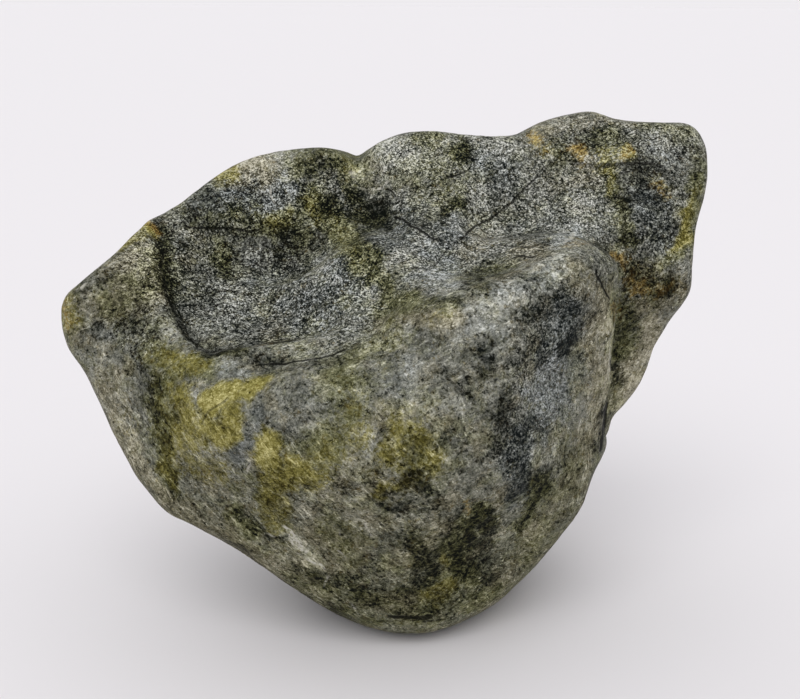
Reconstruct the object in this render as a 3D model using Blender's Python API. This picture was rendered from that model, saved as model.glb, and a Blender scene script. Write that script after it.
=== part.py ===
"""A hakkai stone: one river-worn boulder with a dished top, a bulging front and a narrow flat foot.

The stone is a closed surface with one radius in every direction from its heart, a point near its middle.
Landmarks on the worn skin give that radius where they stand, and a smooth blend carries it between them.
The outline seen from the front then trims the skin, and a flat foot cuts it off level with the ground.
Sizes are in millimetres until the last step. X runs to the right, Y to the back and Z up.
"""

import bmesh
import bpy
import numpy as np

NAME = "hakkai_stone"
MM = 0.001
HEART = np.array((0.0, 0.0, 78.0))
EYE = np.array((-15.0, -355.0, 182.0))  # where the front is best seen from, high and a little to the left
GRID = 28  # squares along each side of the cube that is blown up into the stone
SLACK = 0.0004  # how freely the skin may pass by its landmarks, in the units of the blend
RIM_OUT = 4  # how far the rim stands outside the outline before the outline trims it
RIM_WEAR = 3  # how wide the trimmed edge is worn round
FOOT_WEAR = 5  # and the edge of the flat foot
STONE_COLOUR = (0.135, 0.132, 0.1)  # weathered grey-green, as linear light
STONE_ROUGHNESS = 0.62

# (x, z) where the sight lines that just graze the stone cross the plane y = 0
OUTLINE = [
    (-100, 90), (-99.5, 95), (-97.5, 98.5), (-94, 101.5), (-86, 108), (-76.5, 117), (-70.5, 122),
    (-65.5, 124), (-58, 129), (-52.5, 133), (-42, 138.5), (-31, 141), (-21, 141.5), (-14.5, 140.5),
    (-11.5, 139.5), (-8, 141.5), (-3.5, 144), (3, 146), (9, 146.5), (19, 145.5), (30, 145), (35, 145.5),
    (42, 149), (51, 151.5), (57, 152), (64, 150), (78, 149), (84, 149), (88, 147.5), (91, 143.5),
    (92.5, 136), (92, 127), (90.5, 120), (90, 107), (89.5, 98), (84, 89), (80.2, 82), (78, 74),
    (76, 68.5), (72, 62.5), (68.5, 58), (67.5, 50), (62.5, 37.5), (60, 28.5), (54, 18.5), (40.5, 1.5),
    (33, -6), (25.5, -11), (18, -14.5), (10.5, -16.5), (3, -16.5), (-9, -13.5), (-21.5, -7), (-36, 3.5),
    (-50, 15), (-64, 23.5), (-71, 27.5), (-77, 35), (-84, 48), (-89.5, 62), (-94, 74), (-98.5, 82),
]

LANDMARKS = {
    "rim": [
        (-96, -15, 97), (-92, -12, 107), (-83, -6, 114), (-71, 4, 121), (-59, 12, 128), (-44, 18, 136),
        (-29, 22, 139), (-16, 22, 138), (-11, 20, 137), (1, 22, 143), (12, 22, 144), (27, 22, 144),
        (43, 22, 144), (52, 24, 148), (62, 26, 149), (77, 24, 148), (91, 16, 147), (94, 8, 136),
        (94, 5, 125), (91, 2, 111), (90, 2, 98), (83, 6, 81), (78, 8, 68), (70, 8, 55), (62, -20, 56),
        (54, -20, 29), (44, -22, 17), (31, -24, 8), (19, -28, 1), (4, -31, 0), (-14, -30, 7),
        (-32, -30, 19), (-49, -28, 29), (-66, -26, 38), (-77, -24, 55), (-84, -22, 72), (-91, -18, 88),
    ],
    "left face": [(-81, -22, 105), (-77, -8, 113), (-87, -20, 98), (-75, -26, 97), (-71, -16, 109)],
    "dish": [
        (-64, 0, 118), (-62, -19, 104), (-55, 1, 114), (-48, -19, 101), (-37, -13, 107),
        (-28, -27, 100), (-19, -7, 113), (-37, 3, 118), (-14, -32, 100), (-30, -37, 94), (-48, -34, 95),
        (-44, 14, 129), (-28, 14, 129), (-21, 8, 124),
    ],
    "lip": [(-58, -37, 91), (-46, -45, 90), (-27, -48, 91), (-14, -48, 94), (-1, -46, 99)],
    "valley": [(-10, 12, 129), (-9, 4, 121), (-4, -24, 108), (-1, -35, 103)],
    "slab": [
        (11, 10, 134), (21, -11, 119), (38, 12, 137), (11, -25, 112), (36, -10, 119), (53, 10, 134),
        (53, -11, 119), (61, 2, 127), (28, -30, 112), (10, -5, 123),
    ],
    "brow": [
        (10, -50, 104), (20, -50, 107), (31, -45, 111), (43, -38, 115), (54, -31, 115), (60, -27, 111),
    ],
    "cheek": [(36, -51, 103), (42, -49, 94), (37, -50, 80), (53, -36, 97), (55, -34, 89)],
    "right edge": [(61, -27, 103), (61, -27, 91), (61, -26, 79), (61, -24, 68), (61, -21, 58)],
    "right wall": [(61, -14, 104), (59, -13, 92), (58, -12, 80), (58, -10, 68), (60, -6, 57)],
    "belly": [
        (-27, -60, 79), (-11, -63, 77), (4, -65, 78), (20, -61, 76), (7, -64, 64), (7, -56, 43),
        (8, -45, 22), (-11, -57, 49), (-27, -55, 55), (-40, -55, 69), (-54, -49, 81), (-60, -42, 64),
        (-44, -44, 47), (26, -53, 53), (38, -48, 60), (53, -33, 66), (54, -35, 79), (46, -36, 42),
        (32, -36, 24), (-11, -57, 87), (7, -58, 91), (22, -58, 94),
    ],
    "left flank": [(-75, -31, 87), (-69, -31, 95), (-79, -28, 71), (-69, -36, 71)],
    "right lobe": [
        (74, 5, 125), (78, 12, 135), (75, 0, 111), (83, 1, 120), (87, 1, 108), (71, -3, 97),
        (82, 1, 95), (71, -1, 86), (78, 4, 80), (71, 2, 76), (86, 6, 131), (90, 5, 122), (71, 5, 64),
        (70, 8, 55),
    ],
    "back": [
        (-20, 42, 126), (15, 42, 132), (48, 42, 136), (76, 38, 132), (-45, 34, 116), (-70, 20, 104),
        (-84, 8, 92), (-10, 56, 102), (28, 58, 106), (60, 52, 108), (84, 34, 104), (92, 18, 112),
        (-38, 46, 92), (-64, 32, 82), (10, 61, 78), (45, 57, 76), (72, 38, 76), (-25, 55, 68),
        (-54, 36, 58), (-74, 12, 66), (18, 55, 44), (-12, 50, 38), (50, 42, 44), (62, 20, 38),
        (-38, 34, 32), (-58, 8, 38),
    ],
    "underside": [
        (8, 4, -15), (24, 14, -15), (-10, 12, -13), (8, 28, -14), (26, -6, -13), (-8, -8, -10),
        (-34, 2, 10), (-28, 28, 8), (46, 0, 8), (46, 26, 8), (14, 46, 6),
    ],
}


# Worn into the front, on paths of (x, z) where their sight lines cross the plane y = 0.
# Strokes are hollows and rounded ridges: half-width, height, path.
STROKES = {
    "dish hollow": (24, -2.0, [(-52, 103), (-40, 100), (-28, 98)]),
    "dish crease": (5, -1.4, [(-68.5, 120), (-70, 111.5), (-67.5, 102.5), (-65, 93), (-62, 86), (-57, 82)]),
    "lip fold": (5, -1.2, [(-40.5, 75.5), (-31.5, 77.5), (-18, 81.5), (-8, 88), (-2, 93.5)]),
    "valley": (8, -2.2, [(-11, 138.5), (-10, 130.5), (-7.5, 122)]),
    "saddle": (12, 1.4, [(-4, 113), (-1, 107), (2, 101)]),
    "gully": (5, -1.4, [(-19, 126.5), (-13.5, 124), (-7, 124)]),
    "slab hollow": (24, -1.8, [(15, 117), (31, 119), (47, 121)]),
    "brow crest": (
        8, 2.4, [(1.5, 87), (13.5, 91), (26, 95.5), (38, 100.5), (49.5, 107), (59.5, 108.5), (65.5, 107)],
    ),
    "cheek hollow": (13, -2.4, [(50.5, 89.5), (48.5, 73.5)]),
    "left hollow": (10, -1.6, [(-79, 101), (-83, 96.5)]),
}
# Ledges drop on the right-hand side of their path: drop, width of the edge, length of the fade, path.
LEDGES = {
    "wall of the dish": (
        3.4, 6, 36,
        [
            (-12, 90), (-28.5, 86), (-40, 84.5), (-49, 82.5), (-57, 82), (-62, 86), (-65, 93),
            (-67.5, 102.5), (-70, 112), (-67, 122),
        ],
    ),
    "back edge of the dish": (
        2.2, 6, 26, [(-68, 120), (-53, 118.5), (-40.5, 119), (-32.5, 122), (-19.5, 124.5), (-13, 122)],
    ),
    "left side of the middle block": (2.0, 6, 12, [(-2, 110), (-4.5, 122), (-6.5, 130.5), (-8, 139)]),
    "roll along the top right": (
        2.0, 5, 14, [(38, 141), (48.5, 138.5), (60.5, 136.5), (72.5, 135.5), (80, 137)],
    ),
    "step to the right lobe": (1.6, 5, 16, [(66, 139), (67.5, 126), (69.5, 114), (69, 100)]),
}


def worn_min(a, b, wear):
    """The lesser of two radii, with the edge where they meet worn round over `wear` millimetres."""
    share = np.clip(0.5 + 0.5 * (b - a) / wear, 0, 1)
    return b + (a - b) * share - wear * share * (1 - share)


def periodic_curve(at, angles, radii):
    """A smooth closed curve through (angle, radius) pairs: cubics with slopes taken from the neighbours."""
    order = np.argsort(angles)
    angles, radii = angles[order], radii[order]
    angles = np.concatenate([angles[-2:] - 2 * np.pi, angles, angles[:2] + 2 * np.pi])
    radii = np.concatenate([radii[-2:], radii, radii[:2]])
    slopes = np.gradient(radii, angles)
    i = np.clip(np.searchsorted(angles, at) - 1, 0, len(angles) - 2)
    width = angles[i + 1] - angles[i]
    t = (at - angles[i]) / width
    return (
        (2 * t**3 - 3 * t**2 + 1) * radii[i] + (t**3 - 2 * t**2 + t) * width * slopes[i]
        + (3 * t**2 - 2 * t**3) * radii[i + 1] + (t**3 - t**2) * width * slopes[i + 1]
    )


def outline_radius(directions):
    """Distance from the heart to the cone of sight lines through OUTLINE, with its point at the eye."""
    outline = np.array(OUTLINE, float) - HEART[[0, 2]]
    reach = HEART[1] - EYE[1]
    toward = (EYE - HEART)[[0, 2]] / reach
    flat = directions[:, [0, 2]] + directions[:, 1:2] * toward
    angles = np.arctan2(flat[:, 1], flat[:, 0])
    ring = periodic_curve(angles, np.arctan2(outline[:, 1], outline[:, 0]), np.linalg.norm(outline, axis=1))
    across = np.linalg.norm(flat, axis=1)
    slope = across - ring * directions[:, 1] / reach
    return np.where(slope > 1e-6, ring / np.maximum(slope, 1e-6), 1000.0)


def landmark_blend():
    """Weights of the blend through the landmarks' radii: cubed distances between directions, and a plane."""
    marks = np.concatenate([np.array(group, float) for group in LANDMARKS.values()]) - HEART
    rim = np.array([name == "rim" for name, group in LANDMARKS.items() for _ in group])
    marks[rim] *= 1 + RIM_OUT / np.linalg.norm(marks[rim], axis=1, keepdims=True)
    radii = np.linalg.norm(marks, axis=1)
    aims = marks / radii[:, None]
    cubes = np.linalg.norm(aims[:, None] - aims[None], axis=2) ** 3
    plane = np.concatenate([np.ones((len(aims), 1)), aims], axis=1)
    system = np.block([[cubes + SLACK * np.eye(len(aims)), plane], [plane.T, np.zeros((4, 4))]])
    return aims, np.linalg.solve(system, np.concatenate([radii, np.zeros(4)]))


def blended_radius(directions, aims, weights):
    cubes = np.linalg.norm(directions[:, None] - aims[None], axis=2) ** 3
    return cubes @ weights[: len(aims)] + weights[len(aims)] + directions @ weights[len(aims) + 1 :]


def seen_from_eye(points):
    """(x, z) where the sight line through each point crosses the plane y = 0."""
    share = -EYE[1] / (points[:, 1] - EYE[1])
    return (EYE + (points - EYE) * share[:, None])[:, [0, 2]]


BLEND = landmark_blend()


def near_path(spots, path):
    """For each spot: its distance to the path, negative on the left, and how far along the path that is."""
    path = np.array(path, float)
    found = np.full(len(spots), np.inf)
    side, along = np.zeros(len(spots)), np.zeros(len(spots))
    passed = 0.0
    for start, end in zip(path[:-1], path[1:]):
        step, length = end - start, np.linalg.norm(end - start)
        share = np.clip((spots - start) @ step / length**2, 0, 1)
        away = spots - start - share[:, None] * step
        distance = np.linalg.norm(away, axis=1)
        nearer = distance < found
        found = np.where(nearer, distance, found)
        side = np.where(nearer, np.sign(away[:, 0] * step[1] - away[:, 1] * step[0]), side)
        along = np.where(nearer, passed + share * length, along)
        passed += length
    return found, side, np.minimum(along, passed - along)


def smooth(t):
    t = np.clip(t, 0, 1)
    return t * t * (3 - 2 * t)


def carving(points):
    """How far STROKES and LEDGES move each point out along its normal. They fade out round the back."""
    spots = seen_from_eye(points)
    away = points - HEART
    facing = away @ (EYE - HEART) / np.linalg.norm(EYE - HEART) / np.linalg.norm(away, axis=1)
    moved = np.zeros(len(points))
    for half_width, height, path in STROKES.values():
        distance, _, _ = near_path(spots, path)
        moved += height * (1 - np.minimum(distance / half_width, 1) ** 2) ** 2
    for drop, edge, fade, path in LEDGES.values():
        distance, side, from_end = near_path(spots, path)
        beyond = distance * side
        low = smooth(beyond / edge + 0.5) * (1 - np.clip(beyond / fade, 0, 1) ** 2) ** 2
        moved -= drop * low * smooth(from_end / (0.6 * fade)) * (distance < fade)
    return moved * np.clip(1 + facing / 0.25, 0, 1)


def body_radius(directions):
    """The landmarks' radius, trimmed by the outline and then by the ground."""
    radius = worn_min(blended_radius(directions, *BLEND), outline_radius(directions), RIM_WEAR)
    ground = HEART[2] / np.maximum(-directions[:, 2], 1e-3)
    return worn_min(radius, ground, FOOT_WEAR)


def stone_points(directions):
    return HEART + directions * body_radius(directions)[:, None]


def evened(points, edges, rounds):
    """Points slid along the surface until the squares are of nearly equal size: each moves to the middle
    of its neighbours, and is then put back on the surface along its ray from the heart."""
    ends = np.concatenate([edges, edges[:, ::-1]])
    count = np.bincount(ends[:, 0], minlength=len(points))[:, None]
    for _ in range(rounds):
        sums = [np.bincount(ends[:, 0], points[ends[:, 1], k], len(points)) for k in range(3)]
        total = np.stack(sums, axis=1)
        away = total / count - HEART
        points = stone_points(away / np.linalg.norm(away, axis=1, keepdims=True))
    return points


def sphere_mesh(name, grid):
    """A cube with `grid` squares along each side, still flat-sided."""
    mesh = bpy.data.meshes.new(name)
    bm = bmesh.new()
    bmesh.ops.create_cube(bm, size=2.0)
    bmesh.ops.subdivide_edges(bm, edges=bm.edges, cuts=grid - 1, use_grid_fill=True)
    bm.to_mesh(mesh)
    bm.free()
    return mesh


def stone_material():
    material = bpy.data.materials.new("weathered_stone")
    material.use_nodes = True
    shader = material.node_tree.nodes["Principled BSDF"]
    shader.inputs["Base Color"].default_value = (*STONE_COLOUR, 1)
    shader.inputs["Roughness"].default_value = STONE_ROUGHNESS
    shader.inputs["Metallic"].default_value = 0.0
    return material


def build():
    for item in list(bpy.data.objects):
        bpy.data.objects.remove(item, do_unlink=True)
    mesh = sphere_mesh(NAME, GRID)
    cube = np.empty(len(mesh.vertices) * 3)
    mesh.vertices.foreach_get("co", cube)
    cube = np.tan(cube.reshape(-1, 3) * np.pi / 4)
    directions = cube / np.linalg.norm(cube, axis=1, keepdims=True)
    edges = np.empty(len(mesh.edges) * 2, np.int32)
    mesh.edges.foreach_get("vertices", edges)
    points = evened(stone_points(directions), edges.reshape(-1, 2), 30)
    mesh.vertices.foreach_set("co", (points * MM).ravel())
    mesh.update()
    normals = np.empty(len(mesh.vertices) * 3)
    mesh.vertices.foreach_get("normal", normals)
    points += normals.reshape(-1, 3) * carving(points)[:, None]
    points[:, :2] -= (points.min(axis=0) + points.max(axis=0))[:2] / 2
    mesh.vertices.foreach_set("co", (points * MM).ravel())
    mesh.shade_smooth()
    mesh.update()
    mesh.materials.append(stone_material())
    group = bpy.data.collections.new("Hakkai stone")
    bpy.context.scene.collection.children.link(group)
    group.objects.link(bpy.data.objects.new(NAME, mesh))


build()
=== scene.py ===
# %% [markdown]
# # A hakkai stone
#
# A hakkai stone is a river-worn boulder that is kept for its shape. This one has a dished top, a front
# that bulges out and narrows downwards, and a stepped lobe on the right. It is one piece of speckled
# grey-green rock.
#
# The lesson makes it in four steps: the worn form as one closed surface, the fine relief of the skin, the
# colours that weather has laid on it, and one material that brings the grain. A plain floor and soft
# light end the lesson.
#
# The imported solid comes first. It fixes the size, the place and the ground that the stone stands on.

import math

import bpy
import numpy as np
from mathutils import Euler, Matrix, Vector


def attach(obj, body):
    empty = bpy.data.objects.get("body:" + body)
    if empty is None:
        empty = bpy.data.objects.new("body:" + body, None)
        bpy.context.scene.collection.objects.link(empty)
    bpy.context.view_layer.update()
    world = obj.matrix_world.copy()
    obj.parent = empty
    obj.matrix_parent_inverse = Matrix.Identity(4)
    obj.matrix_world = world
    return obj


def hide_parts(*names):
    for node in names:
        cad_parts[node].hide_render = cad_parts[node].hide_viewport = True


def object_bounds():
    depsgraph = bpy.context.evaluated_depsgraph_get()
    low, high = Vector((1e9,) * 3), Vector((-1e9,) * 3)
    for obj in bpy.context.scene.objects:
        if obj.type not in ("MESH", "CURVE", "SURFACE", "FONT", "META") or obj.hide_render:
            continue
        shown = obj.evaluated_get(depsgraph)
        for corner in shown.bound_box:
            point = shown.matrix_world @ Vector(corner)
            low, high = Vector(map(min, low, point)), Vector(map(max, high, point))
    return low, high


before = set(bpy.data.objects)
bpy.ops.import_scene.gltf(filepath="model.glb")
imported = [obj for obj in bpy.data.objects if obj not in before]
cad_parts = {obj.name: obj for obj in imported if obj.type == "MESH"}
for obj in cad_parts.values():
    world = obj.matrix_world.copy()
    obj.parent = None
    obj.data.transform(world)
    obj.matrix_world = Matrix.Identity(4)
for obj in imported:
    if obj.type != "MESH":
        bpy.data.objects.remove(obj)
CAD_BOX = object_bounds()
MM = 0.001
print("the solid is", [round((high - low) / MM, 1) for low, high in zip(*CAD_BOX)], "mm")

# %% [markdown]
# ## The worn form
#
# A stone has no edges to draw along, so it can't be turned or extruded. It could be sculpted by hand, but
# then the next person couldn't see why it looks as it does. Here every point of the skin is a function of
# two parameters, a place on the side of a cube. The place gives a direction from the stone's heart, and
# the direction gives a radius. Landmarks on the skin set the radius where they stand, and a smooth blend
# carries it between them. The sight lines that graze the stone from the front then trim it to its
# outline, and the ground cuts its foot.

# %% Landmarks and outline, in millimetres
HEART = np.array((0.0, 0.0, 78.0))
EYE = np.array((-15.0, -355.0, 182.0))  # where the front is best seen from, high and a little to the left
SLACK = 0.0004  # how freely the skin may pass by its landmarks, in the units of the blend
RIM_OUT = 4  # how far the rim stands outside the outline before the outline trims it
RIM_WEAR = 3  # how wide the trimmed edge is worn round
FOOT_WEAR = 5  # and the edge of the flat foot
TINY = 1e-6  # keeps a slope off zero
FAR = 1000.0  # the radius where nothing trims it

# (x, z) where the sight lines that just graze the stone cross the plane y = 0
OUTLINE = [
    (-100, 90), (-99.5, 95), (-97.5, 98.5), (-94, 101.5), (-86, 108), (-76.5, 117), (-70.5, 122),
    (-65.5, 124), (-58, 129), (-52.5, 133), (-42, 138.5), (-31, 141), (-21, 141.5), (-14.5, 140.5),
    (-11.5, 139.5), (-8, 141.5), (-3.5, 144), (3, 146), (9, 146.5), (19, 145.5), (30, 145), (35, 145.5),
    (42, 149), (51, 151.5), (57, 152), (64, 150), (78, 149), (84, 149), (88, 147.5), (91, 143.5),
    (92.5, 136), (92, 127), (90.5, 120), (90, 107), (89.5, 98), (84, 89), (80.2, 82), (78, 74),
    (76, 68.5), (72, 62.5), (68.5, 58), (67.5, 50), (62.5, 37.5), (60, 28.5), (54, 18.5), (40.5, 1.5),
    (33, -6), (25.5, -11), (18, -14.5), (10.5, -16.5), (3, -16.5), (-9, -13.5), (-21.5, -7), (-36, 3.5),
    (-50, 15), (-64, 23.5), (-71, 27.5), (-77, 35), (-84, 48), (-89.5, 62), (-94, 74), (-98.5, 82),
]

LANDMARKS = {
    "rim": [
        (-96, -15, 97), (-92, -12, 107), (-83, -6, 114), (-71, 4, 121), (-59, 12, 128), (-44, 18, 136),
        (-29, 22, 139), (-16, 22, 138), (-11, 20, 137), (1, 22, 143), (12, 22, 144), (27, 22, 144),
        (43, 22, 144), (52, 24, 148), (62, 26, 149), (77, 24, 148), (91, 16, 147), (94, 8, 136),
        (94, 5, 125), (91, 2, 111), (90, 2, 98), (83, 6, 81), (78, 8, 68), (70, 8, 55), (62, -20, 56),
        (54, -20, 29), (44, -22, 17), (31, -24, 8), (19, -28, 1), (4, -31, 0), (-14, -30, 7),
        (-32, -30, 19), (-49, -28, 29), (-66, -26, 38), (-77, -24, 55), (-84, -22, 72), (-91, -18, 88),
    ],
    "left face": [(-81, -22, 105), (-77, -8, 113), (-87, -20, 98), (-75, -26, 97), (-71, -16, 109)],
    "dish": [
        (-64, 0, 118), (-62, -19, 104), (-55, 1, 114), (-48, -19, 101), (-37, -13, 107),
        (-28, -27, 100), (-19, -7, 113), (-37, 3, 118), (-14, -32, 100), (-30, -37, 94), (-48, -34, 95),
        (-44, 14, 129), (-28, 14, 129), (-21, 8, 124),
    ],
    "lip": [(-58, -37, 91), (-46, -45, 90), (-27, -48, 91), (-14, -48, 94), (-1, -46, 99)],
    "valley": [(-10, 12, 129), (-9, 4, 121), (-4, -24, 108), (-1, -35, 103)],
    "slab": [
        (11, 10, 134), (21, -11, 119), (38, 12, 137), (11, -25, 112), (36, -10, 119), (53, 10, 134),
        (53, -11, 119), (61, 2, 127), (28, -30, 112), (10, -5, 123),
    ],
    "brow": [
        (10, -50, 104), (20, -50, 107), (31, -45, 111), (43, -38, 115), (54, -31, 115), (60, -27, 111),
    ],
    "cheek": [(36, -51, 103), (42, -49, 94), (37, -50, 80), (53, -36, 97), (55, -34, 89)],
    "right edge": [(61, -27, 103), (61, -27, 91), (61, -26, 79), (61, -24, 68), (61, -21, 58)],
    "right wall": [(61, -14, 104), (59, -13, 92), (58, -12, 80), (58, -10, 68), (60, -6, 57)],
    "belly": [
        (-27, -60, 79), (-11, -63, 77), (4, -65, 78), (20, -61, 76), (7, -64, 64), (7, -56, 43),
        (8, -45, 22), (-11, -57, 49), (-27, -55, 55), (-40, -55, 69), (-54, -49, 81), (-60, -42, 64),
        (-44, -44, 47), (26, -53, 53), (38, -48, 60), (53, -33, 66), (54, -35, 79), (46, -36, 42),
        (32, -36, 24), (-11, -57, 87), (7, -58, 91), (22, -58, 94),
    ],
    "left flank": [(-75, -31, 87), (-69, -31, 95), (-79, -28, 71), (-69, -36, 71)],
    "right lobe": [
        (74, 5, 125), (78, 12, 135), (75, 0, 111), (83, 1, 120), (87, 1, 108), (71, -3, 97),
        (82, 1, 95), (71, -1, 86), (78, 4, 80), (71, 2, 76), (86, 6, 131), (90, 5, 122), (71, 5, 64),
        (70, 8, 55),
    ],
    "back": [
        (-20, 42, 126), (15, 42, 132), (48, 42, 136), (76, 38, 132), (-45, 34, 116), (-70, 20, 104),
        (-84, 8, 92), (-10, 56, 102), (28, 58, 106), (60, 52, 108), (84, 34, 104), (92, 18, 112),
        (-38, 46, 92), (-64, 32, 82), (10, 61, 78), (45, 57, 76), (72, 38, 76), (-25, 55, 68),
        (-54, 36, 58), (-74, 12, 66), (18, 55, 44), (-12, 50, 38), (50, 42, 44), (62, 20, 38),
        (-38, 34, 32), (-58, 8, 38),
    ],
    "underside": [
        (8, 4, -15), (24, 14, -15), (-10, 12, -13), (8, 28, -14), (26, -6, -13), (-8, -8, -10),
        (-34, 2, 10), (-28, 28, 8), (46, 0, 8), (46, 26, 8), (14, 46, 6),
    ],
}

print(sum(len(group) for group in LANDMARKS.values()), "landmarks and", len(OUTLINE), "points of outline")

# %% [markdown]
# The dish, its creases and the brow are worn on top of that form. A stroke is a hollow or a rounded ridge
# along a path, and a ledge is a step that fades out on its low side. Their paths are drawn as seen from
# the front.

# %% Strokes and ledges
# Worn into the front, on paths of (x, z) where their sight lines cross the plane y = 0.
# Strokes are hollows and rounded ridges: half-width, height, path.
STROKES = {
    "dish hollow": (24, -2.0, [(-52, 103), (-40, 100), (-28, 98)]),
    "dish crease": (5, -1.4, [(-68.5, 120), (-70, 111.5), (-67.5, 102.5), (-65, 93), (-62, 86), (-57, 82)]),
    "lip fold": (5, -1.2, [(-40.5, 75.5), (-31.5, 77.5), (-18, 81.5), (-8, 88), (-2, 93.5)]),
    "valley": (8, -2.2, [(-11, 138.5), (-10, 130.5), (-7.5, 122)]),
    "saddle": (12, 1.4, [(-4, 113), (-1, 107), (2, 101)]),
    "gully": (5, -1.4, [(-19, 126.5), (-13.5, 124), (-7, 124)]),
    "slab hollow": (24, -1.8, [(15, 117), (31, 119), (47, 121)]),
    "brow crest": (
        8, 2.4, [(1.5, 87), (13.5, 91), (26, 95.5), (38, 100.5), (49.5, 107), (59.5, 108.5), (65.5, 107)],
    ),
    "cheek hollow": (13, -2.4, [(50.5, 89.5), (48.5, 73.5)]),
    "left hollow": (10, -1.6, [(-79, 101), (-83, 96.5)]),
}
SIDE_FADE = 0.25  # the cosine past the stone's side where strokes and ledges have faded out
LEDGE_END = 0.6  # the share of its fade over which a ledge dies away at its two ends
# Ledges drop on the right-hand side of their path: drop, width of the edge, length of the fade, path.
LEDGES = {
    "wall of the dish": (
        3.4, 6, 36,
        [
            (-12, 90), (-28.5, 86), (-40, 84.5), (-49, 82.5), (-57, 82), (-62, 86), (-65, 93),
            (-67.5, 102.5), (-70, 112), (-67, 122),
        ],
    ),
    "back edge of the dish": (
        2.2, 6, 26, [(-68, 120), (-53, 118.5), (-40.5, 119), (-32.5, 122), (-19.5, 124.5), (-13, 122)],
    ),
    "left side of the middle block": (2.0, 6, 12, [(-2, 110), (-4.5, 122), (-6.5, 130.5), (-8, 139)]),
    "roll along the top right": (
        2.0, 5, 14, [(38, 141), (48.5, 138.5), (60.5, 136.5), (72.5, 135.5), (80, 137)],
    ),
    "step to the right lobe": (1.6, 5, 16, [(66, 139), (67.5, 126), (69.5, 114), (69, 100)]),
}

print(len(STROKES), "strokes and", len(LEDGES), "ledges")

# %% The radius in every direction
def worn_min(a, b, wear):
    """The lesser of two radii, with the edge where they meet worn round over `wear` millimetres."""
    share = np.clip(0.5 + 0.5 * (b - a) / wear, 0, 1)
    return b + (a - b) * share - wear * share * (1 - share)


def periodic_curve(at, angles, radii):
    """A smooth closed curve through (angle, radius) pairs: cubics with slopes taken from the neighbours."""
    order = np.argsort(angles)
    angles, radii = angles[order], radii[order]
    angles = np.concatenate([angles[-2:] - 2 * np.pi, angles, angles[:2] + 2 * np.pi])
    radii = np.concatenate([radii[-2:], radii, radii[:2]])
    slopes = np.gradient(radii, angles)
    i = np.clip(np.searchsorted(angles, at) - 1, 0, len(angles) - 2)
    width = angles[i + 1] - angles[i]
    t = (at - angles[i]) / width
    return (
        (2 * t**3 - 3 * t**2 + 1) * radii[i] + (t**3 - 2 * t**2 + t) * width * slopes[i]
        + (3 * t**2 - 2 * t**3) * radii[i + 1] + (t**3 - t**2) * width * slopes[i + 1]
    )


def outline_radius(directions):
    """Distance from the heart to the cone of sight lines through OUTLINE, with its point at the eye."""
    outline = np.array(OUTLINE, float) - HEART[[0, 2]]
    reach = HEART[1] - EYE[1]
    toward = (EYE - HEART)[[0, 2]] / reach
    flat = directions[:, [0, 2]] + directions[:, 1:2] * toward
    angles = np.arctan2(flat[:, 1], flat[:, 0])
    turns, radii = np.arctan2(outline[:, 1], outline[:, 0]), np.linalg.norm(outline, axis=1)
    ring = periodic_curve(angles, turns, radii)
    across = np.linalg.norm(flat, axis=1)
    slope = across - ring * directions[:, 1] / reach
    return np.where(slope > TINY, ring / np.maximum(slope, TINY), FAR)


def landmark_blend():
    """Weights of the blend through the landmarks' radii: cubed distances between directions, and a plane."""
    marks = np.concatenate([np.array(group, float) for group in LANDMARKS.values()]) - HEART
    rim = np.array([name == "rim" for name, group in LANDMARKS.items() for _ in group])
    marks[rim] *= 1 + RIM_OUT / np.linalg.norm(marks[rim], axis=1, keepdims=True)
    radii = np.linalg.norm(marks, axis=1)
    aims = marks / radii[:, None]
    cubes = np.linalg.norm(aims[:, None] - aims[None], axis=2) ** 3
    plane = np.concatenate([np.ones((len(aims), 1)), aims], axis=1)
    system = np.block([[cubes + SLACK * np.eye(len(aims)), plane], [plane.T, np.zeros((4, 4))]])
    return aims, np.linalg.solve(system, np.concatenate([radii, np.zeros(4)]))


def blended_radius(directions, aims, weights):
    """The blend at each direction: cubed distances to the landmarks' directions, and a plane."""
    cubes = np.linalg.norm(directions[:, None] - aims[None], axis=2) ** 3
    return cubes @ weights[: len(aims)] + weights[len(aims)] + directions @ weights[len(aims) + 1 :]


BLEND = landmark_blend()


def body_radius(directions):
    """The landmarks' radius, trimmed by the outline and then by the ground."""
    radius = worn_min(blended_radius(directions, *BLEND), outline_radius(directions), RIM_WEAR)
    ground = HEART[2] / np.maximum(-directions[:, 2], TINY)
    return worn_min(radius, ground, FOOT_WEAR)


def stone_points(directions):
    """The heart, and a radius from it along each direction."""
    return HEART + directions * body_radius(directions)[:, None]


print("radius to the right, back and top:", np.round(body_radius(np.eye(3)), 1), "mm")

# %% Strokes on the skin
def seen_from_eye(points):
    """(x, z) where the sight line through each point crosses the plane y = 0."""
    share = -EYE[1] / (points[:, 1] - EYE[1])
    return (EYE + (points - EYE) * share[:, None])[:, [0, 2]]


def near_path(spots, path):
    """For each spot: its distance to the path, 1 on the right of it or -1 on the left, and how far along
    the path it is from the nearer end."""
    path = np.array(path, float)
    found = np.full(len(spots), np.inf)
    side, along = np.zeros(len(spots)), np.zeros(len(spots))
    passed = 0.0
    for start, end in zip(path[:-1], path[1:]):
        step, length = end - start, np.linalg.norm(end - start)
        share = np.clip((spots - start) @ step / length**2, 0, 1)
        away = spots - start - share[:, None] * step
        distance = np.linalg.norm(away, axis=1)
        nearer = distance < found
        found = np.where(nearer, distance, found)
        side = np.where(nearer, np.sign(away[:, 0] * step[1] - away[:, 1] * step[0]), side)
        along = np.where(nearer, passed + share * length, along)
        passed += length
    return found, side, np.minimum(along, passed - along)


def smooth(t):
    """A rise from 0 to 1 with flat ends: three squares less two cubes of t, held between 0 and 1."""
    t = np.clip(t, 0, 1)
    return t * t * (3 - 2 * t)


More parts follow.
